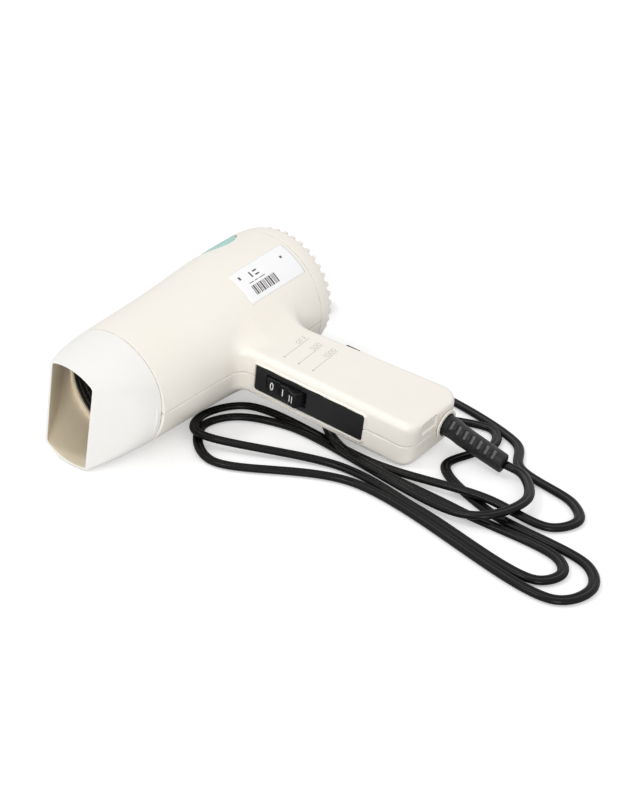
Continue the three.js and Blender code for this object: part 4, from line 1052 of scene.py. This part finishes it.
def rocker_top(s):
    ss = [q[0] for q in ROCKER[1:16]]
    hh = [q[1] for q in ROCKER[1:16]]
    return float(np.interp(s, ss, hh)) + 0.03


def on_rocker(s, z):
    return (PIVOT_S + s, PLATE_FACE - rocker_top(s), z)


marks = [oval(-8.0, 0.2, 0.85, 2.15), [(-0.4, -1.9), (-0.4, 2.4)], [(5.0, -1.8), (5.0, 2.3)],
         [(6.7, -1.8), (6.7, 2.3)]]
dress(strokes("rocker_marks", marks, 0.5, on_rocker, LIE, ON_HANDLE), MARK, "rocker",
      "white_plastic")


def on_barrel(phi, y, out):
    r = float(barrel_radius(y)) + out
    return (r * math.cos(phi), y, r * math.sin(phi))


# plain paper label on the barrel, one of its corners just lifting
LABEL = (77.5, 123.0, math.radians(47), math.radians(78))
rows, cols = 40, 28
verts, faces = [], []
for layer in (0.12, 0.02):
    for i in range(rows + 1):
        for j in range(cols + 1):
            u, w = i / rows, j / cols
            y = LABEL[0] + (LABEL[1] - LABEL[0]) * u
            phi = LABEL[2] + (LABEL[3] - LABEL[2]) * w
            curl = max(0.0, (1 - u) * 0.5 + (1 - w) * 0.5 - 0.88)
            verts.append(on_barrel(phi, y, layer + 14 * curl * curl))
count = (rows + 1) * (cols + 1)
for i in range(rows):
    for j in range(cols):
        a = i * (cols + 1) + j
        faces.append((a, a + 1, a + cols + 2, a + cols + 1))
        b = a + count
        faces.append((b, b + cols + 1, b + cols + 2, b + 1))
rim = list(range(cols + 1))
rim += [i * (cols + 1) + cols for i in range(1, rows + 1)]
rim += [rows * (cols + 1) + j for j in range(cols - 1, -1, -1)]
rim += [i * (cols + 1) for i in range(rows - 1, 0, -1)]
for k in range(len(rim)):
    a, b = rim[k], rim[(k + 1) % len(rim)]
    faces.append((b, a, a + count, b + count))
label = new_object("paper_label", place(np.array(verts), LIE), faces)
dress(label, PAPER, "casing", "white_plastic")

# plain bars and short dashes: (start and end along the barrel, start and end across it as arc)
LABEL_ARC = 38.5
ink = []
at = 84.0
BAR_WIDTHS = (0.5, 1.1, 0.5, 0.9, 0.5, 1.2, 0.5, 0.5, 1.0, 0.6, 1.3, 0.5, 0.5, 0.9)
BAR_SPACES = (0.5, 0.6, 0.8, 0.5, 0.6, 0.7, 0.5, 0.9, 0.6, 0.6, 0.8, 0.5, 0.6, 0.0)
for width, space in zip(BAR_WIDTHS, BAR_SPACES):
    ink.append((at, at + width, 34.6, 40.4))
    at += width + space
for start, end in ((84.5, 88.0), (88.8, 91.5), (92.3, 97.0)):
    ink.append((start, end, 41.9, 42.3))
ink += [(89.0, 90.0, 44.3, 48.0), (92.0, 95.0, 44.3, 45.2), (92.0, 95.0, 46.8, 47.7),
        (114.0, 115.6, 45.0, 46.5), (81.0, 82.4, 46.4, 48.6)]
INK_OUT = 0.16
verts, faces = [], []
for y0, y1, low, high in ink:
    base = len(verts)
    for q in range(5):
        phi = (low + (high - low) * q / 4) / LABEL_ARC
        verts.append(on_barrel(phi, y0, INK_OUT))
        verts.append(on_barrel(phi, y1, INK_OUT))
    for q in range(4):
        i = base + 2 * q
        faces.append((i, i + 1, i + 3, i + 2))
bars = new_object("label_bars", place(np.array(verts), LIE), faces, smooth=False)
dress(bars, LABEL_INK, "casing", "black_gloss")

# ---------------------------------------------------------------- stage and light
FLOOR_HALF = 6.0
FLOOR_GLOW = 0.36
ROOM_LIGHT = 0.78
ROOM_SEEN = 1.0


def math_node(nodes, links, operation, a, b):
    """the result of a math node on socket a and b, a socket or a number"""
    m = nodes.new("ShaderNodeMath")
    m.operation = operation
    links.new(a, m.inputs[0])
    if isinstance(b, float):
        m.inputs[1].default_value = b
    else:
        links.new(b, m.inputs[1])
    return m.outputs[0]


floor_mesh = bpy.data.meshes.new("floor")
corners = [(a * FLOOR_HALF, b * FLOOR_HALF, 0) for a, b in ((-1, -1), (1, -1), (1, 1), (-1, 1))]
floor_mesh.from_pydata(corners, [], [(0, 1, 2, 3)])
floor = bpy.data.objects.new("floor", floor_mesh)
bpy.context.scene.collection.objects.link(floor)
floor_look, nodes, links, b = material("floor_paper", (0.80, 0.80, 0.80), 0.9)
b.inputs["Specular IOR Level"].default_value = 0.1
path = nodes.new("ShaderNodeLightPath")
glow = nodes.new("ShaderNodeEmission")
glow.inputs["Color"].default_value = (1, 1, 1, 1)
both = nodes.new("ShaderNodeAddShader")
strength = math_node(nodes, links, "MULTIPLY", path.outputs["Is Camera Ray"], FLOOR_GLOW)
links.new(strength, glow.inputs["Strength"])
links.new(b.outputs["BSDF"], both.inputs[0])
links.new(glow.outputs["Emission"], both.inputs[1])
links.new(both.outputs["Shader"], nodes["Material Output"].inputs["Surface"])
floor.data.materials.append(floor_look)

world = bpy.data.worlds.new("studio")
bpy.context.scene.world = world
world.use_nodes = True
nodes, links = world.node_tree.nodes, world.node_tree.links
back = nodes["Background"]
back.inputs["Color"].default_value = (1, 1, 1, 1)
# white to the camera and in reflections, a little dimmer as a light
path = nodes.new("ShaderNodeLightPath")
seen = math_node(nodes, links, "MAXIMUM", path.outputs["Is Camera Ray"],
                 path.outputs["Is Glossy Ray"])
seen = math_node(nodes, links, "MAXIMUM", seen, path.outputs["Is Transmission Ray"])
span = nodes.new("ShaderNodeMapRange")
span.inputs["To Min"].default_value = ROOM_LIGHT
span.inputs["To Max"].default_value = ROOM_SEEN
links.new(seen, span.inputs["Value"])
links.new(span.outputs["Result"], back.inputs["Strength"])


def area(name, where, aim, size, power):
    data = bpy.data.lights.new(name, "AREA")
    data.shape = "DISK"
    data.size = size
    data.energy = power
    lamp = bpy.data.objects.new(name, data)
    lamp.location = where
    lamp.rotation_euler = (Vector(aim) - Vector(where)).to_track_quat("-Z", "Y").to_euler()
    bpy.context.scene.collection.objects.link(lamp)


area("key", (-0.5, -0.5, 1.3), (-0.02, 0, 0.03), 0.3, 3.5)
area("fill", (0.8, -1.25, 0.42), (0, 0, 0.03), 0.7, 8.0)

bpy.context.scene.view_settings.view_transform = "Standard"

bpy.context.view_layer.update()
